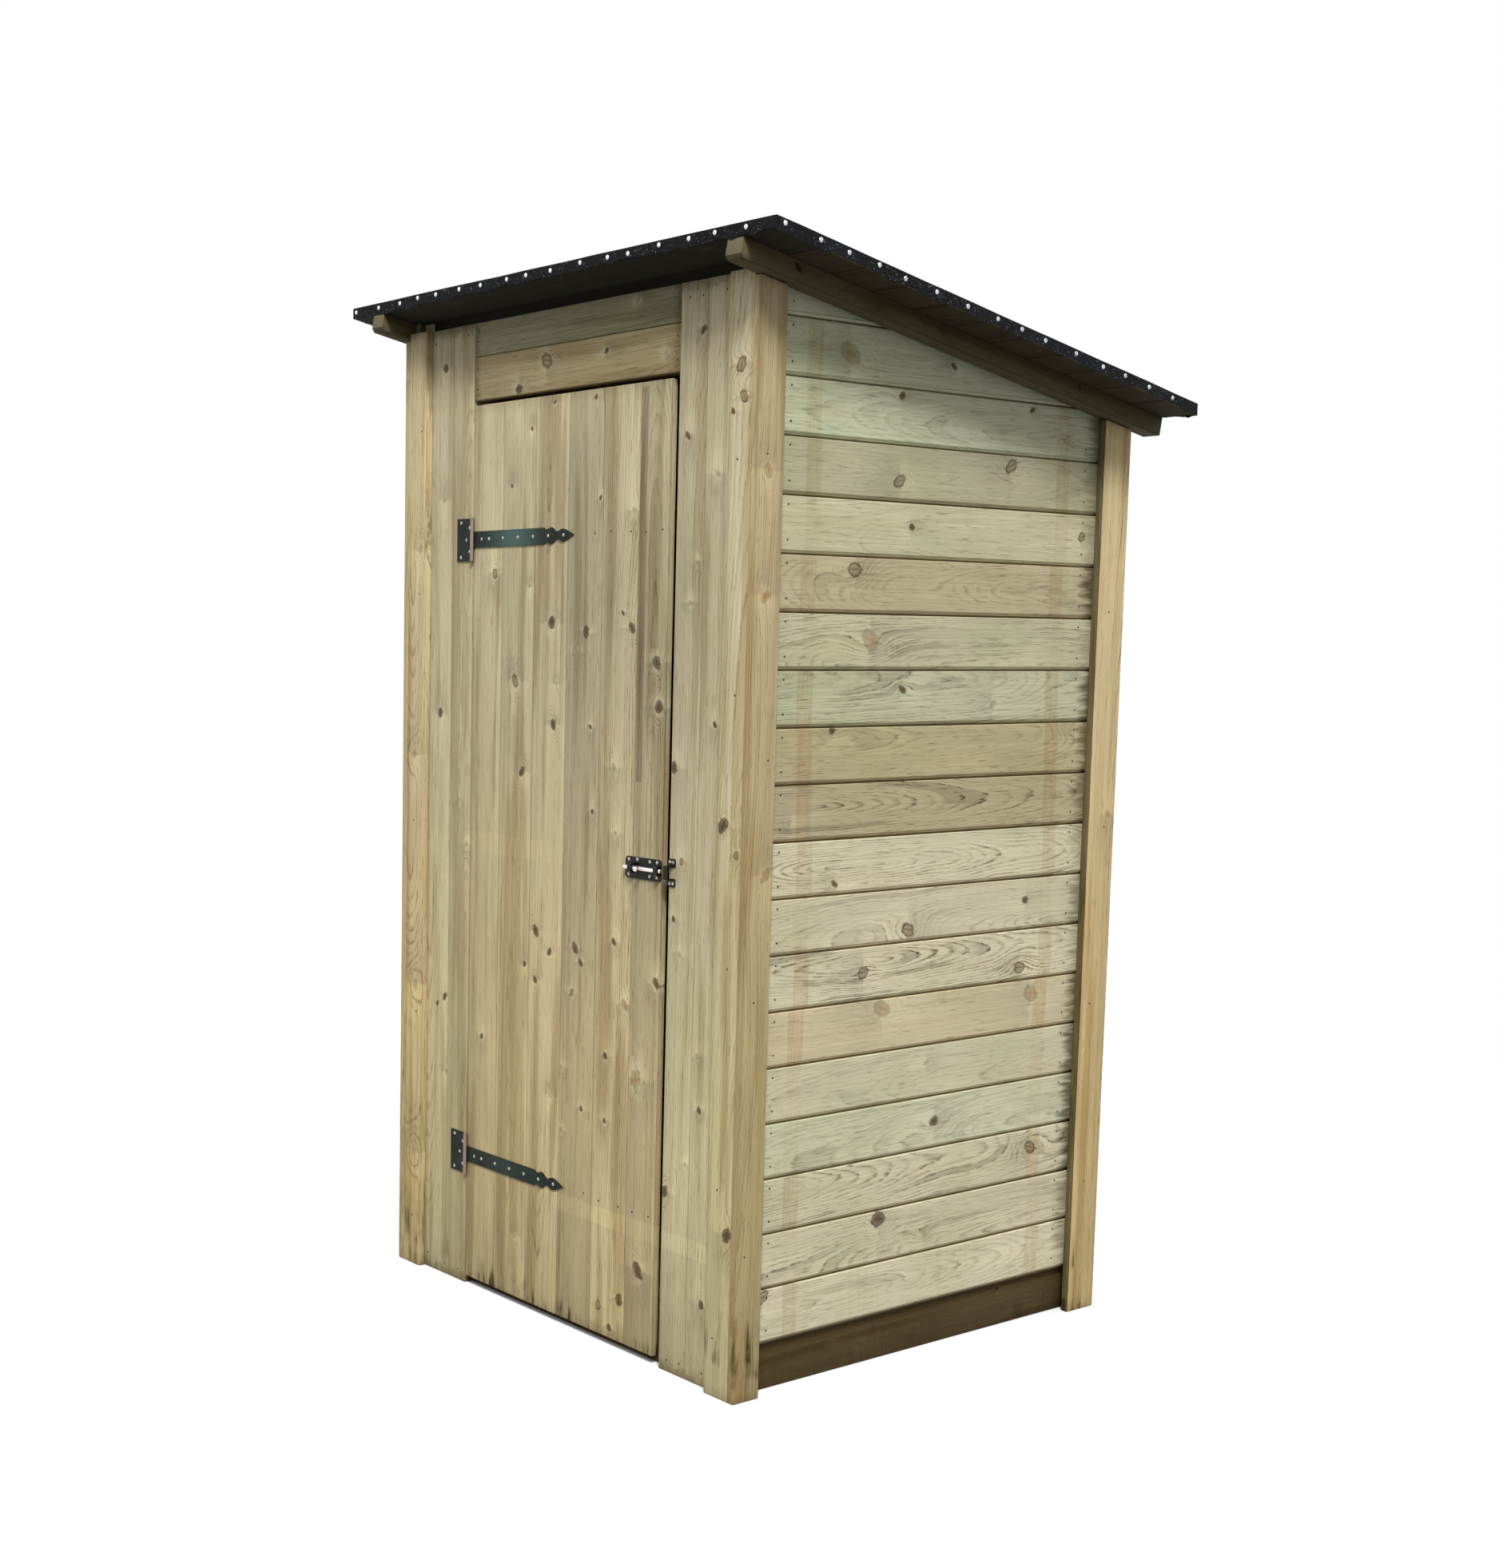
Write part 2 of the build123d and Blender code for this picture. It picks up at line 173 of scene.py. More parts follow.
# growth rings, fibres and knots of a sawn board
grainColors = ["Early", "Late", "Halo Color", "Heart Color"]
grainNumbers = ["Spacing", "Rings", "Pith Depth", "Pith Spread", "Run", "Wander", "Taper", "Broken",
                "Streaks", "Halo"]
grainPatterns = {  # rate along the grain, rate across it, detail and roughness
    "wobble": (9.0, 38.0, 2.0, 0.55), "jagged": (30.0, 330.0, 2.0, 0.6), "dashes": (26.0, 160.0, 2.0, 0.6),
    "worn": (4.5, 24.0, 2.0, 0.55), "fibre": (4.0, 300.0, 3.0, 0.6), "streak": (0.8, 85.0, 3.0, 0.65),
    "heart": (1.1, 20.0, 2.0, 0.55), "blotch": (3.5, 16.0, 3.0, 0.55), "fleck": (22.0, 420.0, 1.0, 0.55),
    "ragged": (70.0, 70.0, 4.0, 0.6),
}
ringStops = [(0.0, 0.15), (0.1, 0.0), (0.55, 0.04), (0.8, 0.6), (0.93, 1.0), (1.0, 0.15)]
ringLook = {"wobble": 0.9, "jagged": 0.55, "bend": 0.8, "leastDark": 0.3, "loopDepth": 1.6, "loopGain": 0.7,
            "wideShare": 0.2, "wideLevel": 0.42}
figureLook = {"fibre": 0.55, "blotch": 0.34, "besideKnot": 0.6, "fleck": 0.8,
              "fleckColor": (0.55, 0.48, 0.4, 1)}
knotShape = {"squash": 0.8, "tilt": 1.1, "ragged": 1.1, "solidFrom": 0.6,
             "rim": (0.96, 0.2), "rimLevel": 0.85, "tailWidth": (0.05, 0.16), "tailLength": (0.1, 1.35),
             "tailLevel": 0.6, "ripples": 17.0, "rippleLevel": 0.12,
             "eyeSquash": 0.45, "eyeRings": 13.0, "eyeRagged": 9.0, "eyeReach": (1.5, 0.75)}
knotColors = {"pale": "a3946e", "grey": "4e4430", "brown": "6b4c2a", "amber": "b08a54", "rim": "332a1d",
              "wood": (1.7, 1.85, 2.8, 1), "eye": (0.66, 0.6, 0.51, 1)}


def nearKnot(tree, b, lengthways, sideways):
    spread = calc(tree, "MINIMUM", times(tree, b.radius, lengthways), times(tree, b.reach, 0.5))
    beside = bell(tree, b.dv, 0.0, times(tree, b.radius, sideways))
    return times(tree, bell(tree, b.du, 0.0, spread), beside, b.hasKnot)


def stretched(tree, b, along, across):
    parts = zip((b.u, b.v, b.w), (along, across, across), b.seeds)
    return join3(tree, *(calc(tree, "MULTIPLY_ADD", *part) for part in parts))


def pattern(tree, b, name):
    along, across, detail, rough = grainPatterns[name]
    return cloud(tree, stretched(tree, b, along, across), 1.0, detail, rough)["Fac"]


def readBoard(tree, given):
    # the place on the board, its own seeds, and where it lies from the knot
    b = SimpleNamespace()
    b.u, b.v, b.w = split3(tree, given["Place"])
    b.tone = split3(tree, given["Tone"])
    b.seeds = [times(tree, t, rate) for t, rate in zip(b.tone, (37.0, 53.0, 71.0))]
    b.knotU, b.knotV, knotR = split3(tree, given["Knot"])
    b.dark, b.warm, b.reach = split3(tree, given["Knot Look"])
    b.hasKnot = calc(tree, "GREATER_THAN", knotR, 0.0004)
    b.radius = calc(tree, "MAXIMUM", knotR, 0.001)
    b.du = minus(tree, b.u, b.knotU)
    b.dv = minus(tree, b.v, b.knotV)
    b.lean = calc(tree, "SIGN", minus(tree, b.tone[0], 0.5))
    b.pull = nearKnot(tree, b, 3.2, 1.8)
    for name in ("fibre", "blotch", "ragged"):
        setattr(b, name, pattern(tree, b, name))
    return b


def ringProfile(tree, phase):
    ramp = addNode(tree, "ShaderNodeValToRGB", {0: calc(tree, "FRACT", phase)})
    stops = ramp.color_ramp.elements
    while len(stops) < len(ringStops):
        stops.new(0.5)
    for stop, (position, level) in zip(stops, ringStops):
        stop.position = position
        stop.color = (level, level, level, 1)
    return ramp.outputs[0]


def growthRings(tree, given, b):
    # rings round a pith that wanders behind the board: they bend round a knot and close in loops beside it
    r = ringLook
    loops = nearKnot(tree, b, 4.6, 2.6)
    bentV = minus(tree, b.v, times(tree, b.dv, b.pull, r["bend"]))
    wander = cloud(tree, stretched(tree, b, given["Run"], 0.0), 1.0, 1.5)["Color"]
    drift = addNode(tree, "ShaderNodeSeparateColor", {0: wander}).outputs
    sideways = times(tree, centred(tree, drift[0], 0.8), given["Wander"])
    middle = centred(tree, b.tone[0], given["Pith Spread"], sideways)
    inwards = times(tree, centred(tree, drift[1], 2.4), given["Wander"])
    depth = calc(tree, "MULTIPLY_ADD", calc(tree, "ADD", b.tone[1], 0.4), given["Pith Depth"], inwards)
    depth = calc(tree, "MULTIPLY_ADD", times(tree, b.u, b.lean), given["Taper"], depth)
    depth = calc(tree, "ADD", depth, times(tree, loops, b.radius, r["loopDepth"]))
    fromPith = lengthOf(tree, minus(tree, bentV, middle), calc(tree, "ADD", b.w, depth))
    uneven = centred(tree, pattern(tree, b, "wobble"), r["wobble"])
    uneven = centred(tree, pattern(tree, b, "jagged"), r["jagged"], uneven)
    phase = calc(tree, "ADD", calc(tree, "DIVIDE", fromPith, given["Spacing"]), uneven)
    ring = {"W": calc(tree, "ADD", calc(tree, "FLOOR", phase), b.seeds[2])}
    luckOfRing = addNode(tree, "ShaderNodeTexWhiteNoise", ring, noise_dimensions="1D").outputs["Value"]
    darkness = calc(tree, "MULTIPLY_ADD", luckOfRing, 1 - r["leastDark"], r["leastDark"])
    late = times(tree, ringProfile(tree, phase), darkness)
    dashes = fade(tree, pattern(tree, b, "dashes"), 0.38, 0.56)
    worn = fade(tree, pattern(tree, b, "worn"), 0.36, 0.6)
    for whole in (dashes, worn):
        kept = calc(tree, "MULTIPLY_ADD", minus(tree, whole, 1.0), given["Broken"], 1.0)
        late = times(tree, late, kept)
    inLoops = calc(tree, "MULTIPLY_ADD", loops, r["loopGain"], 1.0)
    late = calc(tree, "MULTIPLY", times(tree, late, b.tone[2]), inLoops, clamp=True)
    wide = calc(tree, "GREATER_THAN", luckOfRing, 1 - r["wideShare"])
    return late, times(tree, wide, fade(tree, worn, 0.35, 0.9), given["Broken"], b.tone[2], r["wideLevel"])


def woodFigure(tree, given, b, late, wide):
    # broad streaks, fibres, blotches and flecks over the rings
    look = figureLook
    rings = times(tree, calc(tree, "MAXIMUM", late, wide), given["Rings"])
    streaks = centred(tree, pattern(tree, b, "streak"), 1.0)
    lateMix = calc(tree, "MULTIPLY_ADD", streaks, given["Streaks"], rings, clamp=True)
    color = blend(tree, lateMix, given["Early"], given["Late"])
    color = stain(tree, 1.0, color, given["Tint"])
    heart = fade(tree, pattern(tree, b, "heart"), 0.49, 0.62)
    color = stain(tree, times(tree, heart, given["Streaks"]), color, given["Heart Color"])
    # painted light and shade: beside a knot one side is drawn lighter and the other darker, like a curl lit from
    # one side
    side = centred(tree, b.ragged, 0.035, times(tree, b.du, b.lean))  # one side of a knot is darker
    side = centred(tree, fade(tree, side, -0.004, 0.004), given["Halo"])
    side = times(tree, side, nearKnot(tree, b, 8.0, 3.2), look["besideKnot"])
    level = centred(tree, b.fibre, look["fibre"], centred(tree, b.blotch, look["blotch"], 1.0))
    color = stain(tree, 1.0, color, grey(tree, calc(tree, "ADD", side, level)))
    flecks = fade(tree, pattern(tree, b, "fleck"), 0.62, 0.74, 0.0, look["fleck"])
    return stain(tree, flecks, color, look["fleckColor"])


def paintKnot(tree, given, b, color):
    # a halo and rings like an eye, then the knot: a leaning disc with a dark rim and tails along the grain
    k = knotShape
    tint = {name: shade(code) if isinstance(code, str) else code for name, code in knotColors.items()}
    luckOfKnot = calc(tree, "MULTIPLY_ADD", b.knotV, 91.0, 50.0)
    luckOfKnot = calc(tree, "FRACT", calc(tree, "MULTIPLY_ADD", b.knotU, 57.0, luckOfKnot))
    alongR = calc(tree, "DIVIDE", times(tree, b.du, k["squash"]), b.radius)
    acrossR = calc(tree, "DIVIDE", b.dv, b.radius)
    acrossR = calc(tree, "MULTIPLY_ADD", alongR, centred(tree, luckOfKnot, k["tilt"]), acrossR)
    away = centred(tree, b.ragged, k["ragged"], lengthOf(tree, alongR, acrossR))
    away = calc(tree, "ADD", away, calc(tree, "MULTIPLY_ADD", b.hasKnot, -50.0, 50.0))
    firm = calc(tree, "MULTIPLY_ADD", b.dark, 0.4, 0.55)
    inside = times(tree, fade(tree, away, k["solidFrom"], 1.0, 1.0, 0.0), firm)
    deadKnot = times(tree, fade(tree, b.dark, 0.1, 0.35), minus(tree, 1.0, b.warm))
    ringed = calc(tree, "MULTIPLY_ADD", b.warm, 0.5, deadKnot)
    rim = times(tree, bell(tree, away, *k["rim"]), ringed, k["rimLevel"])
    tails = times(tree, bell(tree, acrossR, *k["tailWidth"]), bell(tree, alongR, *k["tailLength"]), b.hasKnot)
    tails = times(tree, tails, ringed, k["tailLevel"])

    heartwood = blend(tree, b.dark, tint["pale"], blend(tree, luckOfKnot, tint["grey"], tint["brown"]))
    wood = blend(tree, b.warm, heartwood, tint["amber"])
    uneven = calc(tree, "MULTIPLY_ADD", b.ragged, 0.7, 0.62)
    ripple = calc(tree, "SINE", times(tree, away, k["ripples"]))
    ripple = calc(tree, "MULTIPLY_ADD", ripple, k["rippleLevel"], uneven)
    wood = stain(tree, 1.0, wood, grey(tree, ripple))
    wood = stain(tree, 1.0, wood, stain(tree, 1.0, given["Early"], tint["wood"]))

    halo = times(tree, b.pull, given["Halo"], fade(tree, b.ragged, 0.35, 0.6, 0.35, 1.0))
    color = blend(tree, halo, color, given["Halo Color"])
    eyeAway = lengthOf(tree, calc(tree, "DIVIDE", times(tree, b.du, k["eyeSquash"]), b.radius), acrossR)
    eye = calc(tree, "MULTIPLY_ADD", eyeAway, k["eyeRings"], times(tree, b.ragged, k["eyeRagged"]))
    eye = fade(tree, calc(tree, "SINE", eye), 0.1, 0.9)
    eye = times(tree, eye, bell(tree, eyeAway, *k["eyeReach"]), b.hasKnot)
    patchy = times(tree, fade(tree, b.blotch, 0.44, 0.58), calc(tree, "MULTIPLY_ADD", b.warm, -0.7, 1.0))
    color = stain(tree, times(tree, eye, patchy, given["Halo"]), color, tint["eye"])
    color = blend(tree, inside, color, wood)
    return blend(tree, calc(tree, "MAXIMUM", rim, tails), color, tint["rim"]), rim


def buildGrain():
    tree, given, out = newGroup(
        "boardGrain",
        {"v": ["Place", "Tone", "Knot", "Knot Look"], "c": ["Tint", *grainColors], "f": grainNumbers},
        {"c": ["Color"], "f": ["Height", "Late Wood"]},
    )
    b = readBoard(tree, given)
    late, wide = growthRings(tree, given, b)
    color, rim = paintKnot(tree, given, b, woodFigure(tree, given, b, late, wide))
    height = calc(tree, "MULTIPLY_ADD", late, 0.35, times(tree, b.fibre, 0.55))
    height = calc(tree, "MULTIPLY_ADD", rim, -0.5, height)
    for name, value in (("Color", color), ("Height", height), ("Late Wood", late)):
        plug(tree, out[name], value)
    return tree


# green bloom, dirt in the joints, end grain, damp near the ground, and painted shade towards the top
wearColors = ["Bloom Color", "Damp Color", "Low Color", "High Color", "End Color"]
wearNumbers = ["Bloom", "Damp", "Damp Height", "Joint Dirt", "End Dirt"]
wearLook = {"heights": (0.25, 1.7), "endGrain": 0.7, "joint": (0.001, 0.0042), "jointDepth": (-0.004, -0.002),
            "tip": 0.03, "grimeColor": (0.28, 0.25, 0.18, 1),
            "dripRates": (48.0, 48.0, 5.0), "dry": 0.12, "betweenDrips": 0.1,
            "speck": 0.5, "speckColor": (0.5, 0.46, 0.38, 1)}


def buildOutdoors():
    tree, given, out = newGroup(
        "outdoorWear",
        {"v": ["Where", "Place", "Span"], "c": ["Color", *wearColors], "f": wearNumbers},
        {"c": ["Color"], "f": ["Grime"]},
    )
    s = wearLook
    where = split3(tree, given["Where"])
    u, v, w = split3(tree, given["Place"])
    halfLength, halfWidth, isEnd = split3(tree, given["Span"])
    patches = cloud(tree, given["Where"], 3.2, 4.0, 0.6)["Fac"]
    fine = cloud(tree, given["Where"], 46.0, 3.0, 0.7)["Fac"]
    # painted shade: the colour is drawn darker towards the top, where the light falls brighter, and warmer low
    # down
    byHeight = blend(tree, fade(tree, where[2], *s["heights"]), given["Low Color"], given["High Color"])
    color = stain(tree, 1.0, given["Color"], byHeight)
    bloom = times(tree, fade(tree, patches, 0.4, 0.66), given["Bloom"])
    color = stain(tree, bloom, color, given["Bloom Color"])
    color = blend(tree, times(tree, isEnd, s["endGrain"]), color, given["End Color"])

    edge = minus(tree, halfWidth, calc(tree, "ABSOLUTE", v))
    edge = calc(tree, "MULTIPLY_ADD", fine, 0.003, edge)
    joint = times(tree, fade(tree, edge, *s["joint"], 1.0, 0.0), given["Joint Dirt"])
    joint = times(tree, joint, fade(tree, w, *s["jointDepth"]))
    fromEnd = centred(tree, fine, 0.05, minus(tree, halfLength, calc(tree, "ABSOLUTE", u)))
    tip = times(tree, fade(tree, fromEnd, 0.0, s["tip"], 1.0, 0.0), given["End Dirt"])
    grime = calc(tree, "MAXIMUM", joint, tip)
    color = stain(tree, grime, color, s["grimeColor"])

    # damp climbs in drips, in some places only
    streaky = join3(tree, *(times(tree, p, rate) for p, rate in zip(where, s["dripRates"])))
    drips = cloud(tree, streaky, 1.0, 3.0, 0.6)["Fac"]
    soaked = fade(tree, cloud(tree, given["Where"], 8.0, 2.0)["Fac"], 0.44, 0.58, s["dry"], 1.0)
    climb = calc(tree, "ADD", where[2], times(tree, centred(tree, drips, 3.0), given["Damp Height"]))
    damp = times(tree, fade(tree, climb, 0.0, given["Damp Height"], 1.0, 0.0), given["Damp"])
    damp = calc(tree, "MULTIPLY", damp, calc(tree, "MULTIPLY_ADD", fine, 0.8, 0.5), clamp=True)
    damp = times(tree, damp, soaked, fade(tree, drips, 0.42, 0.54, 1.0, s["betweenDrips"]))
    color = stain(tree, damp, color, given["Damp Color"])
    color = stain(tree, fade(tree, fine, 0.66, 0.8, 0.0, s["speck"]), color, s["speckColor"])
    plug(tree, out["Color"], color)
    plug(tree, out["Grime"], calc(tree, "MAXIMUM", grime, damp))
    return tree


grainGroup = buildGrain()
outdoorGroup = buildOutdoors()

# one finish for each kind of timber on the cabin, with what most of them share
woodShine = 0.15
usualWood = {
    "spacing": 0.0055, "pithDepth": 0.03, "run": 1.2, "taper": 0.03, "broken": 0.4, "streaks": 0.9,
    "highColor": "ffffff",
}
# the high colour of each finish is painted shade at the top of the boards
woodFinishes = {
    "doorBoards": {
        **usualWood, "early": "ccbf9b", "late": "7a6945", "haloColor": "ddd2b4", "heartColor": "ded7ce",
        "rings": 0.95, "pithSpread": 0.24, "run": 1.3, "wander": 0.035, "streaks": 1.0, "halo": 0.85,
        "bloom": 0.2, "bloomColor": "f0f3e6", "damp": 1.0, "dampColor": "45432f", "dampHeight": 0.07,
        "lowColor": "fffaea", "highColor": "e3e4e3", "endColor": "a3957a", "jointDirt": 0.5,
        "endDirt": 0.2, "rough": 0.72},
    "frontBoards": {
        **usualWood, "early": "cbc09f", "late": "7a6c47", "haloColor": "dad0b2", "heartColor": "e2dbd2",
        "rings": 0.9, "pithDepth": 0.04, "pithSpread": 0.22, "run": 1.3, "wander": 0.035, "halo": 0.8,
        "bloom": 0.5, "bloomColor": "f0f0e6", "damp": 0.7, "dampColor": "6f6e58", "dampHeight": 0.09,
        "lowColor": "fffdf0", "highColor": "e6e5e3", "endColor": "a3957a", "jointDirt": 0.4,
        "endDirt": 0.6, "rough": 0.74},
    "sideBoards": {
        **usualWood, "early": "d2cbad", "late": "4f4731", "haloColor": "c9c0a0", "heartColor": "ece4d8",
        "spacing": 0.005, "rings": 1.3, "pithDepth": 0.045, "pithSpread": 0.09, "run": 2.2,
        "wander": 0.022, "taper": 0.085, "broken": 0.68, "streaks": 0.25, "halo": 0.5, "bloom": 0.5,
        "bloomColor": "eef3e8", "damp": 0.15, "dampColor": "d8d6c0", "dampHeight": 0.3,
        "lowColor": "fcfcfc", "highColor": "e6e7e2", "endColor": "8f866a", "jointDirt": 0.12,
        "endDirt": 0.2, "rough": 0.78},
    "trimTimber": {
        **usualWood, "early": "cdc09a", "late": "705c38", "haloColor": "d9c8a0", "heartColor": "e2d8c8",
        "rings": 1.1, "pithDepth": 0.04, "pithSpread": 0.2, "wander": 0.05, "taper": 0.04, "halo": 0.7,
        "bloom": 0.3, "bloomColor": "f0f2e4", "damp": 0.95, "dampColor": "646a4e", "dampHeight": 0.17,
        "lowColor": "f2ecdc", "highColor": "eeecea", "endColor": "a08c64", "jointDirt": 0.3,
        "endDirt": 0.3, "rough": 0.7},
    "frameTimber": {
        **usualWood, "early": "bfa981", "late": "8f7349", "haloColor": "c9b48a", "heartColor": "ecdcc4",
        "spacing": 0.005, "rings": 0.55, "pithSpread": 0.1, "wander": 0.03, "streaks": 0.6, "halo": 0.5,
        "bloom": 0.2, "bloomColor": "eff1e2", "damp": 0.3, "dampColor": "c0b89c", "dampHeight": 0.2,
        "lowColor": "fffaf2", "endColor": "a8966e", "jointDirt": 0.35, "endDirt": 0.3, "rough": 0.78},
    "beamTimber": {
        **usualWood, "early": "554a33", "late": "2f281b", "haloColor": "6a5a3c", "heartColor": "d8ccb8",
        "rings": 0.7, "pithSpread": 0.12, "wander": 0.04, "broken": 0.5, "halo": 0.4, "bloom": 0.4,
        "bloomColor": "c9ccb4", "damp": 0.5, "dampColor": "a8a288", "dampHeight": 0.06,
        "lowColor": "fff2dc", "endColor": "6b5e42", "jointDirt": 0.3, "endDirt": 0.0, "rough": 0.82},
    # the roof timber is dark partly from weathering and partly as painted shade beneath the roof
    "roofTimber": {
        **usualWood, "early": "4c4432", "late": "1b1610", "haloColor": "463c2a", "heartColor": "d8ccb8",
        "rings": 0.7, "pithSpread": 0.12, "wander": 0.04, "broken": 0.5, "halo": 0.4, "bloom": 0.4,
        "bloomColor": "c4c6b0", "damp": 0.0, "dampColor": "ffffff", "dampHeight": 0.1,
        "lowColor": "ffffff", "endColor": "6f664e", "jointDirt": 0.6, "endDirt": 0.0, "rough": 0.85},
}
lapMarks = {"frontMark": -0.395, "rearMark": 0.355, "markWidth": 0.046, "markEdge": 0.003,
            "markColor": "f3e9df", "markStrength": 1.0,
            "bandStart": -0.0004, "bandHighlight": (1.35, 1.32, 1.3, 1),
            "lapLine": 0.0094, "lineWidth": 0.0009, "lineStrength": 0.6, "lineColor": (0.35, 0.3, 0.22, 1),
            "lapDepth": -0.0052, "lapEdge": 0.0006, "lapShadeColor": (0.3, 0.26, 0.2, 1),
            "mouldReach": 0.05, "underTrim": 0.006, "mouldColor": (0.2, 0.19, 0.14, 1)}
sideMiddle = sum(v.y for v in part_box("side_cladding_right")) / 2
trimEdges = {"side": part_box("side_trim_rear_right")[0].y - sideMiddle, "rear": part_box("rear_trim_right")[0].x}


def seasoningMarks(tree, color, place, span, tone, trimEdge):
    # stripes where the stacking battens lay, a painted highlight on the chamfer band, a dark line at its top,
    # painted shade deep in the laps, and mould beside the rear trim
    s = lapMarks
    u, v, w = split3(tree, place)
    halfWidth = split3(tree, span)[1]
    toneA, toneB, toneC = split3(tree, tone)
    grainy = join3(tree, calc(tree, "MULTIPLY_ADD", u, 190.0, toneA), times(tree, v, 12.0), toneB)
    grainy = cloud(tree, grainy, 1.0, 3.0)["Fac"]
    patchy = join3(tree, calc(tree, "MULTIPLY_ADD", u, 9.0, toneC), times(tree, v, 70.0), toneA)
    patchy = cloud(tree, patchy, 1.0, 4.0)["Fac"]
    for middle in (s["frontMark"], s["rearMark"]):
        away = calc(tree, "ABSOLUTE", minus(tree, centred(tree, toneB, 0.016, u), middle))
        band = fade(tree, away, s["markWidth"] / 2 - s["markEdge"], s["markWidth"] / 2, 1.0, 0.0)
        band = times(tree, band, fade(tree, grainy, 0.36, 0.56, 0.5, 1.0))
        band = times(tree, band, fade(tree, toneA, 0.05, 0.75, 0.3, s["markStrength"]))
        color = stain(tree, band, color, shade(s["markColor"]))
    # painted highlight: the chamfer band, which faces down, is drawn lighter
    litBand = times(tree, calc(tree, "LESS_THAN", w, s["bandStart"]), calc(tree, "LESS_THAN", v, 0.0))
    litBand = times(tree, litBand, calc(tree, "GREATER_THAN", w, s["lapDepth"]))
    color = stain(tree, litBand, color, s["bandHighlight"])
    line = bell(tree, v, minus(tree, s["lapLine"], halfWidth), s["lineWidth"])
    color = stain(tree, times(tree, line, s["lineStrength"]), color, s["lineColor"])
    # painted shade: the deep rebate of each lap is drawn dark
    shadedLap = fade(tree, w, s["lapDepth"] - s["lapEdge"], s["lapDepth"], 1.0, 0.0)
    color = stain(tree, shadedLap, color, s["lapShadeColor"])
    nearEnd = centred(tree, patchy, 0.13, minus(tree, trimEdge + s["underTrim"], u))
    mould = fade(tree, nearEnd, 0.0, s["mouldReach"], 1.0, 0.0)
    mould = times(tree, mould, fade(tree, toneB, 0.1, 0.8, 0.35, 0.95))
    return stain(tree, mould, color, s["mouldColor"])


# two places where something once covered the front boards, and a dark heart stripe
frontMarks = [
    {"across": (-0.01, 0.52), "upwards": (0.256, 0.300), "tint": (1.13, 1.13, 1.1, 1)},
    {"across": (-0.36, -0.04), "upwards": (1.025, 1.075), "tint": (1.07, 1.07, 1.04, 1)},
    {"across": (0.238, 0.262), "upwards": (1.22, 2.03), "tint": (0.7, 0.62, 0.64, 1)},
]


def coverMarks(tree, color, where):
    x, _, z = split3(tree, where)
    loose = cloud(tree, join3(tree, times(tree, x, 40.0), 0.0, times(tree, z, 3.0)), 1.0, 2.0)["Fac"]
    x = centred(tree, loose, 0.012, x)
    for mark in frontMarks:
        onMark = within(tree, x, *mark["across"], 0.005)
        onMark = times(tree, onMark, within(tree, z, *mark["upwards"], 0.006))
        color = stain(tree, onMark, color, mark["tint"])
    return color


def finishInputs(finish, labels):
    # the group's "Halo Color" is haloColor in a finish
    values = {}
    for label in labels:
        value = finish[label[0].lower() + label[1:].replace(" ", "")]
        values[label] = shade(value) if isinstance(value, str) else value
    return values


def makeWood(name, finish, axis=None, trimEdge=None):
    material, tree, shader, where = newMaterial(name, finish["rough"], 0.0, woodShine)
    if axis is None:
        labels = ("grainPlace", "boardTone", "knotSpot", "knotLook", "boardSpan", "boardTint")
        place, tone, knot, look, span, tint = (
            addNode(tree, "ShaderNodeAttribute", attribute_name=label).outputs["Vector"] for label in labels)
    else:  # a piece of the frame itself, sawn along one axis
        x, y, z = split3(tree, where)
        place = join3(tree, *{0: (x, y, z), 1: (y, z, x), 2: (z, x, y)}[axis])
        tone = join3(tree, 0.31 + axis * 0.2, 0.62, 0.55)
        knot, look = (0.0, 0.0, 0.0), (0.0, 0.0, 1.0)
        span, tint = join3(tree, 5.0, 5.0, 0.0), (1.0, 1.0, 1.0, 1.0)
    grain = useGroup(tree, grainGroup, {
        "Place": place, "Tone": tone, "Knot": knot, "Knot Look": look, "Tint": tint,
        **finishInputs(finish, grainColors + grainNumbers),
    })
    color = grain["Color"]
    if trimEdge:
        color = seasoningMarks(tree, color, place, span, tone, trimEdge)
    elif name in ("doorBoards", "frontBoards"):
        color = coverMarks(tree, color, where)
    wear = useGroup(tree, outdoorGroup, {
        "Color": color, "Where": where, "Place": place, "Span": span,
        **finishInputs(finish, wearColors + wearNumbers),
    })
    plug(tree, shader.inputs["Base Color"], wear["Color"])
    smoother = calc(tree, "MULTIPLY_ADD", grain["Late Wood"], -0.08, finish["rough"])
    rough = calc(tree, "MULTIPLY_ADD", wear["Grime"], 0.18, smoother, clamp=True)
    plug(tree, shader.inputs["Roughness"], rough)
    addBump(tree, shader, 0.5, 0.0006, grain["Height"])
    return material


woods = {name: makeWood(name, finish) for name, finish in woodFinishes.items() if name != "sideBoards"}
lapWoods = {label: makeWood(label + "Boards", woodFinishes["sideBoards"], trimEdge=edge)
            for label, edge in trimEdges.items()}
# painted shade: the wall plates beneath the roof are drawn near black
wallPlateShade = makeWood("wallPlateShade", {**woodFinishes["roofTimber"], "early": "1c1a12", "late": "0e0d09"}, 0)
frameAlong = {label: makeWood("frameTimber" + label, woodFinishes["frameTimber"], axis)
              for axis, label in enumerate("XYZ")}
print("wood finishes ready")

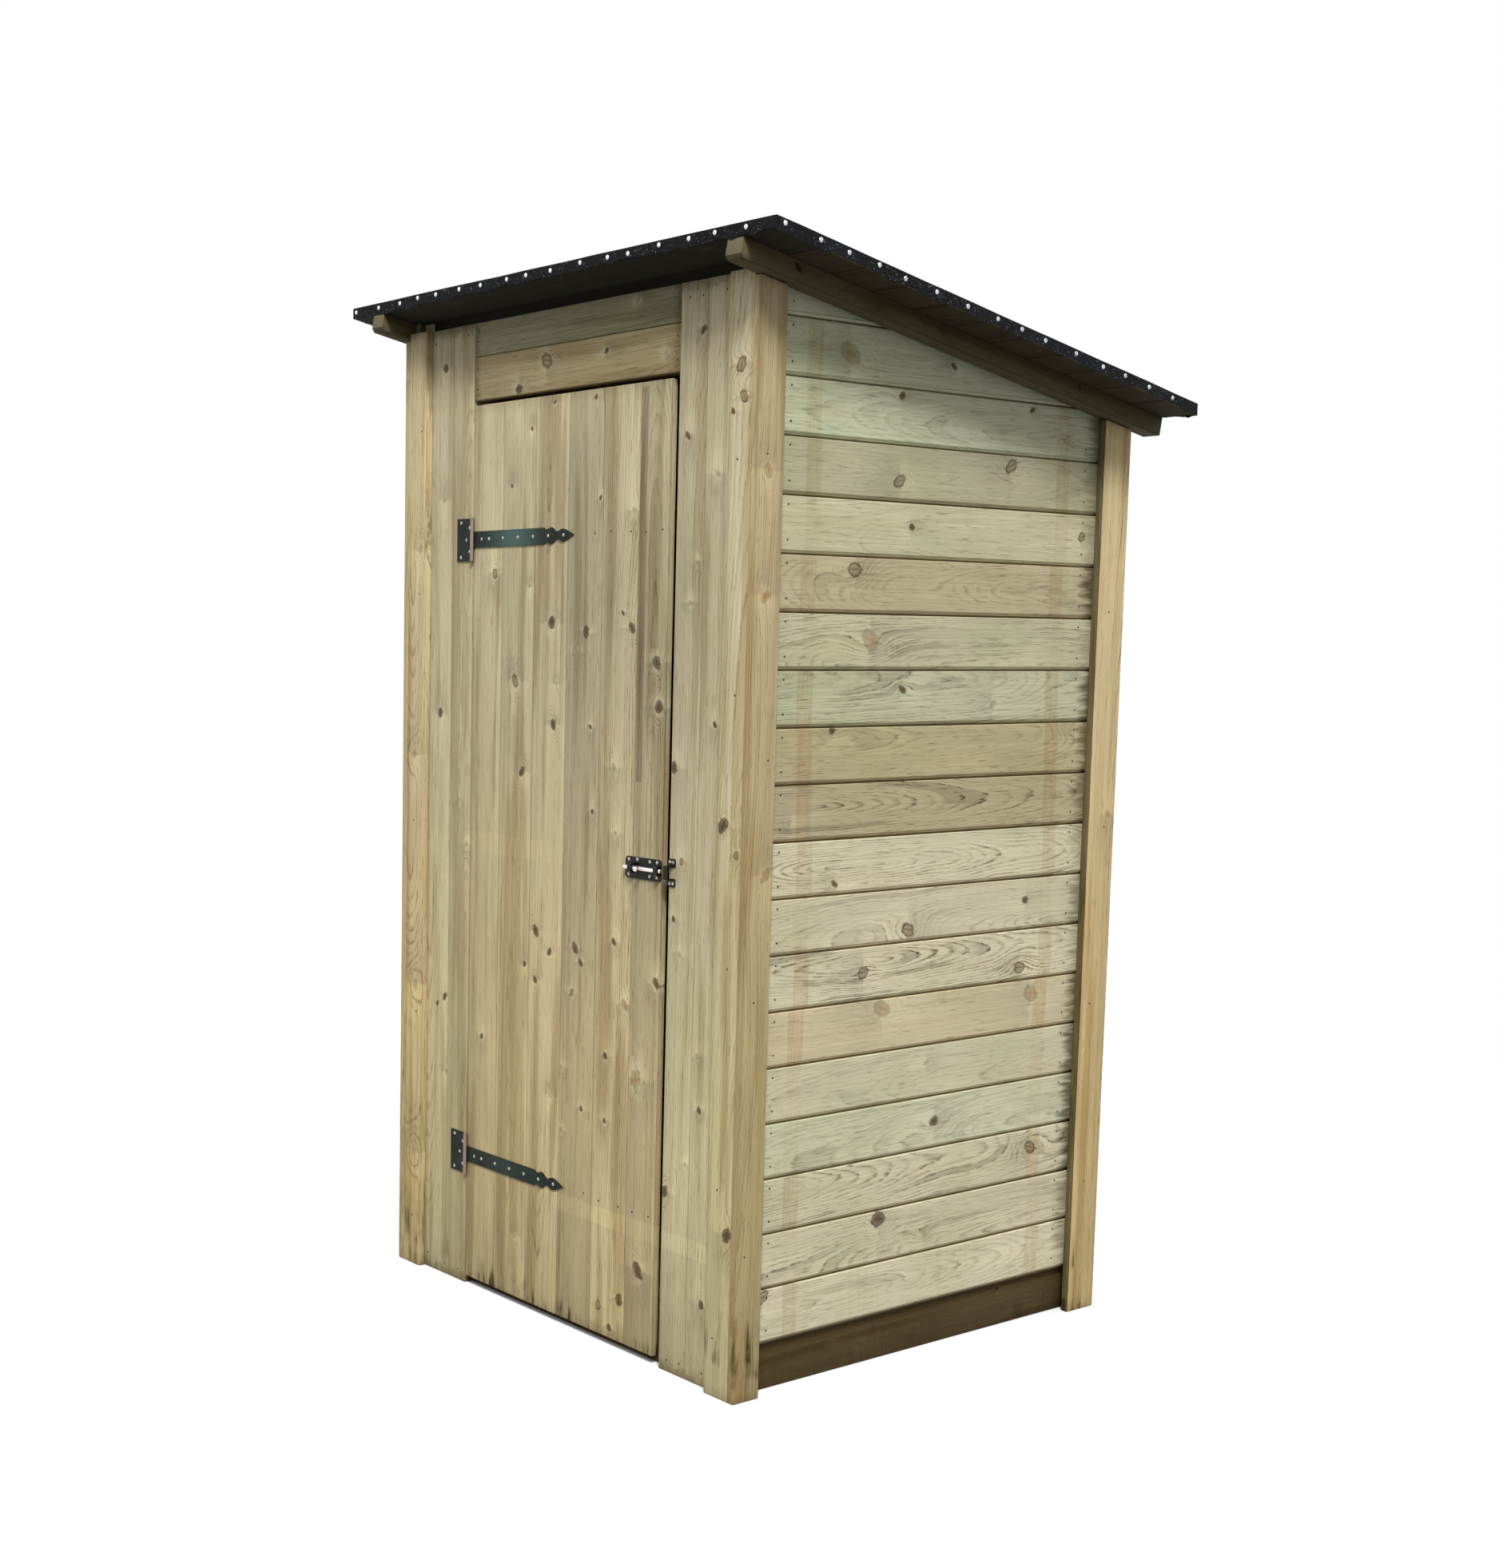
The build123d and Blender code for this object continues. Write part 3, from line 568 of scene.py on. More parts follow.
# felt, iron and steel
feltFinish = {"low": "080809", "high": "131417", "fleck": "6f767c", "fleckScale": 520.0, "rough": 0.86,
              "shine": 0.15}
metalFinishes = {
    "hingeIron": {
        "low": "080f08", "high": "16221a", "wear": "a58e80", "sheen": "4a625c", "sheenAt": (-0.19, 0.075),
        "scale": 20.0, "rough": 0.48, "metallic": 0.0, "shine": 0.13},
    "latchIron": {
        "low": "060606", "high": "12100f", "wear": "12100f",
        "scale": 40.0, "rough": 0.28, "metallic": 0.0, "shine": 0.2},
    # bright steel, with the pink of a sky reflection painted into its colour
    "latchSteel": {
        "low": "b39c92", "high": "e9dcd6", "wear": "e9dcd6",
        "scale": 60.0, "rough": 0.22, "metallic": 0.85, "shine": 0.5},
    "screwSteel": {
        "low": "77776f", "high": "c8c6bc", "wear": "dedcd2",
        "scale": 300.0, "rough": 0.32, "metallic": 0.8, "shine": 0.5},
    "nailSteel": {
        "low": "1c1812", "high": "4a4134", "wear": "4a4134",
        "scale": 300.0, "rough": 0.6, "metallic": 0.3, "shine": 0.3},
    "cloutSteel": {
        "low": "9a9ea1", "high": "e6e8ea", "wear": "e6e8ea",
        "scale": 200.0, "rough": 0.38, "metallic": 0.5, "shine": 0.5},
}
# painted highlight: metal is drawn bright where it stands out most, such as the hinge knuckles: from and to in y,
# strength
brightest = {"from": -0.5475, "to": -0.5455, "strength": 0.75}


def makeFelt():
    f = feltFinish
    material, tree, shader, where = newMaterial("mineralFelt", f["rough"], 0.0, f["shine"])
    grit = addNode(tree, "ShaderNodeTexVoronoi", {"Vector": where, "Scale": f["fleckScale"]})
    flake = addNode(tree, "ShaderNodeSeparateColor", {0: grit.outputs["Color"]}).outputs
    patches = cloud(tree, where, 7.0, 4.0, 0.6)["Fac"]
    chips = cloud(tree, where, 95.0, 2.0, 0.6)["Fac"]
    color = blend(tree, fade(tree, patches, 0.35, 0.7), shade(f["low"]), shade(f["high"]))
    pale = times(tree, fade(tree, flake[0], 0.9, 0.98), fade(tree, chips, 0.46, 0.66, 0.12, 0.9))
    color = blend(tree, pale, color, shade(f["fleck"]))
    plug(tree, shader.inputs["Base Color"], color)
    lumps = cloud(tree, where, 60.0, 3.0, 0.6)["Fac"]
    lumps = calc(tree, "MULTIPLY_ADD", lumps, 1.5, grit.outputs["Distance"])
    addBump(tree, shader, 0.7, 0.0012, lumps)
    return material


def makeMetal(name, finish):
    material, tree, shader, where = newMaterial(name, finish["rough"], finish["metallic"], finish["shine"])
    x, y, z = split3(tree, where)
    # painted highlight on the parts that stand out most
    worn = fade(tree, y, brightest["from"], brightest["to"], brightest["strength"], 0.0)
    patches = cloud(tree, where, finish["scale"], 3.0, 0.6)["Fac"]
    fine = cloud(tree, where, 320.0, 2.0, 0.6)["Fac"]
    color = blend(tree, fade(tree, patches, 0.38, 0.62), shade(finish["low"]), shade(finish["high"]))
    # painted sheen: the strap is drawn blue-green in its middle, strongly on the upper hinge, faintly on the
    # lower
    if "sheen" in finish:  # green on the strap, more on the upper hinge
        bloom = times(tree, bell(tree, x, *finish["sheenAt"]), fade(tree, z, 1.0, 1.1, 0.12, 0.8))
        color = blend(tree, bloom, color, shade(finish["sheen"]))
    color = blend(tree, worn, color, shade(finish["wear"]))
    plug(tree, shader.inputs["Base Color"], color)
    plug(tree, shader.inputs["Roughness"], calc(tree, "MULTIPLY_ADD", fine, 0.25, finish["rough"] - 0.12))
    addBump(tree, shader, 0.35, 0.0003, fine)
    return material


feltMaterial = makeFelt()
metals = {name: makeMetal(name, finish) for name, finish in metalFinishes.items()}
print("felt and metal ready")

# boards: each one has its own grain place, tone and knots
knotLooks = {"dark": (0.95, 0.0), "ring": (0.4, 0.1), "pale": (0.05, 0.1), "amber": (0.1, 0.85)}
boardTints = {
    "plain": (1.0, 1.0, 1.0), "cream": (1.08, 1.07, 1.09), "pale": (1.06, 1.08, 1.11),
    # the last tint on the line below is partly painted light: it lifts the top side rows out of the shade under
    # the roof, and makes them bluer
    "fair": (1.07, 1.04, 1.04), "linen": (1.14, 1.2, 1.3), "mistLifted": (1.1, 1.2, 1.24),
    "fresh": (1.27, 1.18, 1.09), "mint": (0.95, 1.0, 1.01), "rose": (0.96, 0.91, 0.87),
    "pink": (0.95, 0.88, 0.84), "tan": (0.90, 0.83, 0.72), "umber": (0.85, 0.79, 0.72),
    # the last tint on the line below is painted shade, for the upper header board under the eaves
    "drab": (0.88, 0.87, 0.9), "slate": (0.81, 0.81, 0.8), "dusky": (0.56, 0.6, 0.56),
    # the first two tints on the line below are painted shade, for the roof boards
    "roofShade": (0.46, 0.46, 0.43), "soot": (0.12, 0.14, 0.12), "dirt": (0.34, 0.33, 0.29),
    # the last tint on the line below is painted shade, for the bearers' front ends
    "ashen": (1.62, 1.66, 1.55), "noseShade": (0.85, 0.83, 0.8),
}
boardNotes = ("boardTone", "knotSpot", "knotLook", "boardSpan", "boardTint")  # written on each board's faces
# the knots that stand out, by their look: place along the wall, height and radius in metres
knotPlaces = {
    "rightWall": {
        "dark": [(0.0, 2.08, 0.006), (-0.15, 2.01, 0.007), (0.25, 2.01, 0.006), (-0.11, 1.75, 0.006),
            (-0.12, 1.42, 0.007), (-0.32, 1.34, 0.006), (-0.3, 1.03, 0.006), (0.29, 0.96, 0.007),
            (0.02, 0.5, 0.01), (-0.14, 0.31, 0.015)],
        "ring": [(-0.15, 1.84, 0.011), (0.19, 1.89, 0.012), (0.43, 1.75, 0.009), (-0.27, 1.66, 0.013),
            (-0.08, 0.92, 0.013), (-0.21, 0.84, 0.011), (0.28, 0.81, 0.012), (0.34, 0.4, 0.013),
            (-0.47, 0.2, 0.012)],
        "pale": [(0.36, 1.95, 0.006), (0.16, 1.39, 0.008), (0.43, 1.34, 0.009), (-0.43, 1.16, 0.005),
            (-0.01, 0.63, 0.007), (0.0, 0.26, 0.009)],
        "amber": [(-0.3, 2.08, 0.02), (-0.22, 1.52, 0.018), (-0.15, 0.76, 0.016), (0.32, 0.75, 0.016)],
    },
    "door": {
        "dark": [(-0.29, 0.6, 0.005), (-0.13, 1.97, 0.004), (-0.2, 1.85, 0.004), (-0.15, 1.22, 0.008),
            (-0.13, 0.79, 0.005), (-0.05, 2.02, 0.004), (-0.05, 1.55, 0.01), (-0.04, 1.33, 0.008),
            (-0.09, 0.87, 0.009), (-0.04, 0.83, 0.007), (-0.09, 0.76, 0.006), (0.09, 2.02, 0.004),
            (0.11, 1.81, 0.004), (0.07, 1.53, 0.009), (0.09, 1.33, 0.004), (0.1, 1.15, 0.004),
            (0.05, 0.85, 0.009), (0.07, 0.82, 0.006), (0.08, 0.5, 0.005), (0.22, 1.54, 0.009),
            (0.19, 1.57, 0.004), (0.18, 0.88, 0.006), (0.16, 0.63, 0.006), (0.16, 0.49, 0.005),
            (0.22, 0.11, 0.01), (0.19, 0.04, 0.006), (0.3, 1.47, 0.01), (0.31, 1.38, 0.01),
            (0.32, 0.81, 0.008), (0.28, 0.19, 0.012)],
        "ring": [(-0.26, 1.66, 0.008), (-0.18, 1.42, 0.01), (0.04, 0.75, 0.006), (0.15, 0.08, 0.008)],
        "pale": [(-0.13, 1.63, 0.004), (-0.15, 0.16, 0.005), (-0.03, 1.42, 0.005), (-0.03, 0.51, 0.006),
            (0.03, 1.49, 0.011), (0.01, 0.58, 0.006), (0.01, 0.44, 0.006), (0.22, 1.78, 0.006),
            (0.17, 1.25, 0.008), (0.18, 1.11, 0.005)],
        "amber": [(0.22, 0.75, 0.009), (0.26, 0.6, 0.014)],
    },
    "front": {
        "dark": [(0.42, 2.12, 0.007), (0.38, 1.92, 0.006), (0.48, 1.35, 0.005), (0.36, 1.26, 0.009),
            (0.37, 0.95, 0.005), (0.46, 0.57, 0.006), (0.36, 0.38, 0.009), (0.48, 0.17, 0.007),
            (-0.46, 2.13, 0.008), (-0.47, 1.34, 0.008), (-0.44, 0.67, 0.007), (-0.47, 0.65, 0.005)],
        "ring": [(0.39, 1.07, 0.006)],
        "pale": [(0.42, 1.67, 0.005), (0.4, 1.59, 0.006), (0.47, 1.84, 0.007), (0.39, 0.88, 0.006),
            (0.45, 0.68, 0.006), (0.42, 0.45, 0.005), (-0.46, 1.83, 0.006), (-0.39, 1.14, 0.006),
            (-0.36, 1.04, 0.007), (-0.43, 0.49, 0.006)],
    },
    "header": {
        "dark": [(-0.18, 2.06, 0.009), (0.12, 2.11, 0.005)],
        "ring": [(-0.08, 2.11, 0.013)],
        "pale": [(0.31, 2.09, 0.006), (0.22, 2.2, 0.006)],
    },
    "frontTrim.right": {
        "dark": [(0.53, 1.955, 0.005), (0.53, 1.155, 0.011), (0.57, 0.34, 0.011)],
        "ring": [(0.55, 2.04, 0.011), (0.56, 1.98, 0.009), (0.57, 1.1, 0.006)],
        "pale": [(0.59, 0.49, 0.006)],
    },
    "frontTrim.left": {
        "pale": [(-0.53, 1.72, 0.01), (-0.55, 1.24, 0.01), (-0.54, 0.69, 0.013), (-0.54, 0.28, 0.013)],
    },
    "sideTrimFront.right": {
        "amber": [(-0.53, 1.84, 0.01), (-0.53, 1.6, 0.009), (-0.51, 1.06, 0.01)],
    },
    "sideTrimRear.right": {
        "pale": [(0.54, 1.14, 0.008)],
    },
}
knotDefaults = {"every": 0.42, "first": (0.3, 1.0), "apart": (0.5, 1.7), "toEnd": 0.04, "sideways": 0.4,
                "radius": (0.004, 0.011), "looks": ("dark", "ring", "pale", "pale", "amber", "dark")}
boardLuck = {"figure": (0.6, 1.0), "shade": 0.05}


def newPiece():
    bm = bmesh.new()
    bm.verts.layers.float_vector.new("grainPlace")
    bm.verts.layers.int.new("done")
    for name in boardNotes:
        bm.faces.layers.float_vector.new(name)
    return bm


def freshVerts(bm):
    done = bm.verts.layers.int["done"]
    return [v for v in bm.verts if v[done] == 0]


def touching(verts):
    edges = {e for v in verts for e in v.link_edges}
    faces = {f for v in verts for f in v.link_faces}
    return list(edges), list(faces)


def sliceBoard(bm, point, normal, clear=False):
    verts = freshVerts(bm)
    edges, faces = touching(verts)
    made = bmesh.ops.bisect_plane(bm, geom=verts + edges + faces, dist=1e-6, plane_co=point, plane_no=normal,
                                  clear_outer=clear)
    if clear:
        rim = [e for e in made["geom_cut"] if isinstance(e, bmesh.types.BMEdge)]
        bmesh.ops.contextual_create(bm, geom=rim)


def boardKnots(group, along, lowU, highU, lowV, highV):
    # the listed knots that fall on this board, or random ones where its wall has no list
    middleU, middleV = (lowU + highU) / 2, (lowV + highV) / 2
    spots = []
    if group in knotPlaces:
        for look, knots in knotPlaces[group].items():
            for sideways, height, radius in knots:
                u, v = (height, sideways) if along == zAxis else (sideways, height)
                if lowU < u < highU and lowV < v < highV:
                    spots.append((u - middleU, v - middleV, radius, look))
        return spots
    k = knotDefaults
    place = lowU + luck.uniform(*k["first"]) * k["every"]
    while place < highU - k["toEnd"]:
        look = luck.choice(k["looks"])
        sideways = luck.uniform(-k["sideways"], k["sideways"]) * (highV - lowV)
        spots.append((place - middleU, sideways, luck.uniform(*k["radius"]), look))
        place += luck.uniform(*k["apart"]) * k["every"]
    return spots


def finishBoard(bm, along, across, outward, face, group="", tint="plain", figure=None):
    # writes on the board just added where its grain runs, and cuts it so that each stretch has one knot
    axes = [Vector(a).normalized() for a in (along, across, outward)]
    verts = freshVerts(bm)
    lows = [min(v.co.dot(a) for v in verts) for a in axes]
    highs = [max(v.co.dot(a) for v in verts) for a in axes]
    middles = [(low + high) / 2 for low, high in zip(lows, highs)]
    halves = [(high - low) / 2 for low, high in zip(lows, highs)]
    spots = sorted(boardKnots(group, along, lows[0], highs[0], lows[1], highs[1]))
    cuts = [-halves[0]] + [(a[0] + b[0]) / 2 for a, b in zip(spots, spots[1:])] + [halves[0]]
    for cut in cuts[1:-1]:
        sliceBoard(bm, axes[0] * (middles[0] + cut), axes[0])
    tone = (luck.random(), luck.random(), luck.uniform(*boardLuck["figure"]) if figure is None else figure)
    color = Vector(boardTints[tint]) * (1 + luck.uniform(-boardLuck["shade"], boardLuck["shade"]))
    verts = freshVerts(bm)
    for f in touching(verts)[1]:
        spot, look, reach = (0, 0, 0), (0, 0), 1.0
        if spots:
            middle = f.calc_center_median().dot(axes[0]) - middles[0]
            index = sum(middle > c for c in cuts[1:-1])
            spot, look = spots[index][:3], knotLooks[spots[index][3]]
            reach = max(0.012, min(spot[0] - cuts[index], cuts[index + 1] - spot[0]))
        isEnd = 1.0 if abs(f.normal.dot(axes[0])) > 0.7 else 0.0
        notes = (tone, spot, (*look, reach), (halves[0], halves[1], isEnd), color)
        for name, note in zip(boardNotes, notes):
            f[bm.faces.layers.float_vector[name]] = Vector(note)
    place, done = bm.verts.layers.float_vector["grainPlace"], bm.verts.layers.int["done"]
    for v in verts:
        v[place] = Vector([v.co.dot(a) - m for a, m in zip(axes, (middles[0], middles[1], face))])
        v[done] = 1


def softenEdges(bm, edges, offset, segments=2):
    bmesh.ops.bevel(bm, geom=edges, offset=offset, segments=segments, profile=0.5, affect="EDGES",
                    material=-1)


def addBox(bm, low, high, soften=0.0015, segments=2):
    size, middle = Vector(high) - Vector(low), (Vector(high) + Vector(low)) / 2
    place = Matrix.Translation(middle) @ Matrix.Diagonal((*size, 1))
    made = bmesh.ops.create_cube(bm, size=1.0, matrix=place)
    softenEdges(bm, touching(made["verts"])[0], soften, segments)


def addObject(name, data):
    made = bpy.data.objects.new(name, data)
    scene.collection.objects.link(made)
    return made


def meshOf(bm, name):
    mesh = bpy.data.meshes.new(name)
    bm.to_mesh(mesh)
    bm.free()
    return mesh


def finishPiece(bm, name, body, material, replaced=(), smooth=25):
    bm.normal_update()
    mesh = meshOf(bm, name)
    if "done" in mesh.attributes:
        mesh.attributes.remove(mesh.attributes["done"])
    piece = addObject(name, mesh)
    mesh.materials.append(material)
    mesh.shade_smooth()
    mesh.set_sharp_from_angle(angle=math.radians(smooth))
    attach(piece, body)
    if replaced:
        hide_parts(*replaced)


def outerFace(node, outward):
    low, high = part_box(node)
    return max(low.dot(outward), high.dot(outward))


# the roof: its slope also cuts the walls and trims
roofTimber = {"pitch": 10.8, "boardDepth": 0.022, "boards": 11, "gap": 0.002, "arris": 0.0015,
              "bearerWidth": 0.044, "bearerHeight": 0.040, "nose": 0.008, "soften": 0.002}
felt, doorBox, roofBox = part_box("roof_felt"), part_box("door_leaf"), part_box("roof_boards")
roofPitch = math.radians(roofTimber["pitch"])
roofRise = roofTimber["boardDepth"] / math.cos(roofPitch)
roofNormal = Vector((0, math.sin(roofPitch), math.cos(roofPitch)))
downSlope = Vector((0, math.cos(roofPitch), -math.sin(roofPitch)))
roofSeat = Vector((0, roofBox[0].y, roofBox[1].z - roofRise))  # the boards' underside, at the front


def slopedTurn(place):
    turn = Matrix((xAxis, downSlope, roofNormal)).transposed().to_4x4()
    turn.translation = place
    return turn


# side and rear walls: rebated boards laid level
sideWall = {"cover": 0.1131, "gap": 0.00002, "rebate": 0.004, "rebateDepth": 0.006, "chamfer": 0.005,
            "thickness": 0.015, "arris": 0.0012, "leastTop": 0.045, "leastRest": 0.01,
            "nailUp": (0.040, -0.028), "nailFront": 0.033, "nailRear": 0.042, "nailBelowRoof": 0.06}
# tint and strength of the figure, from the bottom board up
sideTints = [
    ("cream", 0.5), ("plain", 0.6), ("plain", 0.9), ("mint", 0.4), ("plain", 0.35), ("pink", 0.15),
    ("cream", 1.0), ("cream", 0.55), ("cream", 0.95), ("umber", 0.85), ("tan", 0.5), ("mint", 0.7),
    # the top three rows of the right wall are lifted and bluer: partly painted light against the shade under the
    # roof
    ("plain", 0.7), ("pink", 0.5), ("plain", 0.3), ("slate", 0.35), ("mistLifted", 0.4), ("mistLifted", 0.25),
    ("mistLifted", 0.2),
]


def vertsOf(geometry):
    return [v for v in geometry if isinstance(v, bmesh.types.BMVert)]


def extrudeOutline(bm, corners, way):
    first = bm.faces.new([bm.verts.new(corner) for corner in corners])
    made = bmesh.ops.extrude_face_region(bm, geom=[first])
    bmesh.ops.translate(bm, vec=way, verts=vertsOf(made["geom"]))
    bmesh.ops.recalc_face_normals(bm, faces=touching(freshVerts(bm))[1])


def lapBoard(bm, start, end, outward, face, bottom, top):
    w = sideWall
    shelf, slope = bottom + w["rebate"], bottom + w["rebate"] + w["chamfer"]
    outline = [(-w["rebateDepth"], bottom), (-w["rebateDepth"], shelf), (-w["chamfer"], shelf), (0, slope),
               (0, top - w["arris"]), (-w["arris"], top), (-w["thickness"], top), (-w["thickness"], bottom)]
    extrudeOutline(bm, [outward * (face + d) + start + zAxis * h for d, h in outline], end - start)
    sliceBoard(bm, roofSeat, roofNormal, clear=True)


def lapWall(name, node, along, outward, tints, trims, finish):
    w = sideWall
    low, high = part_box(node)
    face = outerFace(node, outward)
    start, end = low.dot(along), high.dot(along)
    bm = newPiece()
    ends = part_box(trims[0])[1].dot(along) + w["nailFront"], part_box(trims[1])[0].dot(along) - w["nailRear"]
    bottom, row, nails = low.z, 0, []
    while bottom < high.z - w["leastRest"]:
        top = bottom + w["cover"]
        if top + w["leastTop"] > high.z:
            top = high.z
        lapBoard(bm, along * start, along * end, outward, face, bottom + w["gap"], top)
        finishBoard(bm, along, zAxis, outward, face, name, *tints[row % len(tints)])
        for up in w["nailUp"]:
            height = bottom + w["cover"] / 2 + up
            nails += [along * place + outward * face + zAxis * height for place in ends]
        bottom, row = top, row + 1
    finishPiece(bm, name, "cabin", lapWoods[finish], [node], smooth=20)
    return [(n, outward) for n in nails if (n - roofSeat).dot(roofNormal) < -w["nailBelowRoof"]]


shuffled = sideTints[:]
luck.shuffle(shuffled)
sideTrims = ("side_trim_front_right", "side_trim_rear_right")
rearTrims = ("rear_trim_left", "rear_trim_right")
wallNails = lapWall("rightWall", "side_cladding_right", yAxis, xAxis, sideTints, sideTrims, "side")
wallNails += lapWall("leftWall", "side_cladding_left", yAxis, -xAxis, shuffled, sideTrims, "side")
wallNails += lapWall("rearWall", "rear_cladding", xAxis, yAxis, shuffled[::-1], rearTrims, "rear")
print("lapped walls done")

# front wall and door: upright boards with softened edges
upright = {"soften": 0.0011, "gap": 0.00002, "doorFirst": 0.109, "doorCover": 0.1175, "stripWidth": 0.0815,
           "doorTints": ("cream", "plain", "cream", "drab", "cream", "drab"),
           "leftTints": ("pale", "plain"), "rightTints": ("pale", "pale"),
           # the upper header board's tint is painted shade under the eaves
           "lowerTint": "tan", "upperTint": "dusky"}


def uprightBoards(name, node, body, joints, group, tints):
    low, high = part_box(node)
    gap = upright["gap"]
    bm = newPiece()
    edges = [low.x, *joints, high.x]
    for left, right, tint in zip(edges, edges[1:], tints):
        addBox(bm, (left + gap, low.y, low.z), (right - gap, high.y, high.z), upright["soften"])
        finishBoard(bm, zAxis, xAxis, -yAxis, -low.y, group, tint)
    finishPiece(bm, name, body, woods[group + "Boards"], [node])


def levelBoard(name, node, finish, along, outward, soften=0.0015, group="", tint="plain"):
    bm = newPiece()
    addBox(bm, *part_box(node), soften)
    finishBoard(bm, along, zAxis, outward, outerFace(node, outward), group, tint)
    finishPiece(bm, name, "cabin", woods[finish], [node])


doorJoints = [doorBox[0].x + upright["doorFirst"] + i * upright["doorCover"] for i in range(5)]
leftStrip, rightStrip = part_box("front_cladding_left"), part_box("front_cladding_right")
leftJoint, rightJoint = leftStrip[1].x - upright["stripWidth"], rightStrip[0].x + upright["stripWidth"]
uprightBoards("doorBoards", "door_leaf", "door", doorJoints, "door", upright["doorTints"])
for side, joint in (("left", leftJoint), ("right", rightJoint)):
    uprightBoards("frontBoards." + side, "front_cladding_" + side, "cabin", [joint], "front",
                  upright[side + "Tints"])
for level in ("lower", "upper"):
    levelBoard("header." + level, "header_board_" + level, "frontBoards", xAxis, -yAxis,
               group="header", tint=upright[level + "Tint"])
print("front and door done")

# corner trims, cut to the slope where they meet the bearers
trim = {"soften": 0.0022, "segments": 3, "spare": 0.05, "rightTint": "linen", "leftTint": "fair"}


def tintFaces(bm, facing, tint):
    layer = bm.faces.layers.float_vector["boardTint"]
    for f in bm.faces:
        if f.normal.dot(facing) > 0.7:
            f[layer] = Vector(boardTints[tint])


def trimPiece(name, node, outward, across, tint, slopeCut=False):
    low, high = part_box(node)
    bm = newPiece()
    tall = high + zAxis * trim["spare"] if slopeCut else high
    addBox(bm, low, tall, trim["soften"], trim["segments"])
    if slopeCut:
        sliceBoard(bm, Vector((0, low.y, high.z)), roofNormal, clear=True)
    finishBoard(bm, zAxis, across, outward, outerFace(node, outward), name, tint)
    if name.startswith("sideTrimRear"):  # dirt has gathered on the edge towards the boards
        tintFaces(bm, -yAxis, "dirt")
    finishPiece(bm, name, "cabin", woods["trimTimber"], [node])


for side, sign in (("right", 1), ("left", -1)):
    trimPiece("frontTrim." + side, "front_trim_" + side, -yAxis, xAxis, trim[side + "Tint"])
    trimPiece("rearTrim." + side, "rear_trim_" + side, yAxis, xAxis, "plain")
    trimPiece("sideTrimFront." + side, "side_trim_front_" + side, xAxis * sign, yAxis, "rose", True)
    trimPiece("sideTrimRear." + side, "side_trim_rear_" + side, xAxis * sign, yAxis, "fresh", True)
print("trims done")

# roof boards and bearers, drawn dark with painted shade beneath the roof, and the dark base beams


def roofBoards():
    low, high = roofBox
    r = roofTimber
    bm = newPiece()
    cover = (high.y - low.y) / r["boards"]
    slope = math.tan(roofPitch)
    for index in range(r["boards"]):
        y0 = low.y + index * cover
        y1 = min(y0 + cover - r["gap"], high.y) if index < r["boards"] - 1 else high.y
        outline = [(y0, 0), (y1, 0), (y1, roofRise), (y0, roofRise)]
        corners = [(low.x, y, roofSeat.z - slope * (y - low.y) + z) for y, z in outline]
        extrudeOutline(bm, corners, xAxis * (high.x - low.x))
        softenEdges(bm, touching(freshVerts(bm))[0], r["arris"], 1)
        # painted shade: the roof boards are drawn dark, the front one darkest
        tint = "roofShade" if index else "soot"
        finishBoard(bm, xAxis, downSlope, -roofNormal, -roofSeat.dot(roofNormal), tint=tint)
    finishPiece(bm, "roofBoards", "cabin", woods["roofTimber"], ["roof_boards"])


def roofBearer(side, sign):
    node = "roof_bearer_" + side
    low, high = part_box(node)
    r = roofTimber
    bm = newPiece()
    length = (roofBox[1].y - roofBox[0].y) / math.cos(roofPitch)
    start = Vector(((low.x + high.x) / 2, roofSeat.y, roofSeat.z))
    middle = start + downSlope * (length / 2) - roofNormal * (r["bearerHeight"] / 2)
    size = Matrix.Diagonal((r["bearerWidth"], length, r["bearerHeight"], 1))
    made = bmesh.ops.create_cube(bm, size=1.0, matrix=slopedTurn(middle) @ size)
    below = [v for v in made["verts"] if (v.co - middle).dot(roofNormal) < 0]
    lowest = [v for v in below if (v.co - middle).dot(downSlope) < 0]
    softenEdges(bm, [e for e in touching(lowest)[0] if all(v in lowest for v in e.verts)], r["nose"], 1)
    softenEdges(bm, touching(freshVerts(bm))[0], r["soften"])
    outer = xAxis * sign
    finishBoard(bm, downSlope, roofNormal, outer, outerFace(node, outer), tint="ashen")
    # painted shade: the bearers' front ends, which face the light, are drawn darker
    tintFaces(bm, -yAxis, "noseShade")
    finishPiece(bm, "roofBearer." + side, "cabin", woods["roofTimber"], [node])


def baseBeam(side, along, outward):
    levelBoard("baseBeam." + side, "base_beam_" + side, "beamTimber", along, outward,
               soften=0.003)


roofBoards()
for side, sign in (("right", 1), ("left", -1)):
    roofBearer(side, sign)
    baseBeam(side, yAxis, xAxis * sign)
baseBeam("front", xAxis, -yAxis)
baseBeam("rear", xAxis, yAxis)
print("roof timber and base done")

# pieces that keep the shape of their solids: frame, ledges and ironwork
plainPieces = {
    "corner_post": frameAlong["Z"], "door_post": frameAlong["Z"], "door_head": frameAlong["X"],
    "rear_mid": frameAlong["X"], "front_mid": frameAlong["X"], "door_ledge": frameAlong["X"],
    "side_top": frameAlong["Y"], "side_mid": frameAlong["Y"], "front_top": wallPlateShade, "rear_top": wallPlateShade,
    "upper_hinge": metals["hingeIron"], "lower_hinge": metals["hingeIron"],
    "latch_plate": metals["latchIron"], "latch_keeper": metals["latchIron"],
    "latch_bolt": metals["latchSteel"],
}
for node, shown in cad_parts.items():
    for start, material in plainPieces.items():
        if node.startswith(start):
            shown.data.materials.clear()
            shown.data.materials.append(material)

# floor inside
floorSettings = {"boards": 9, "gap": 0.002}


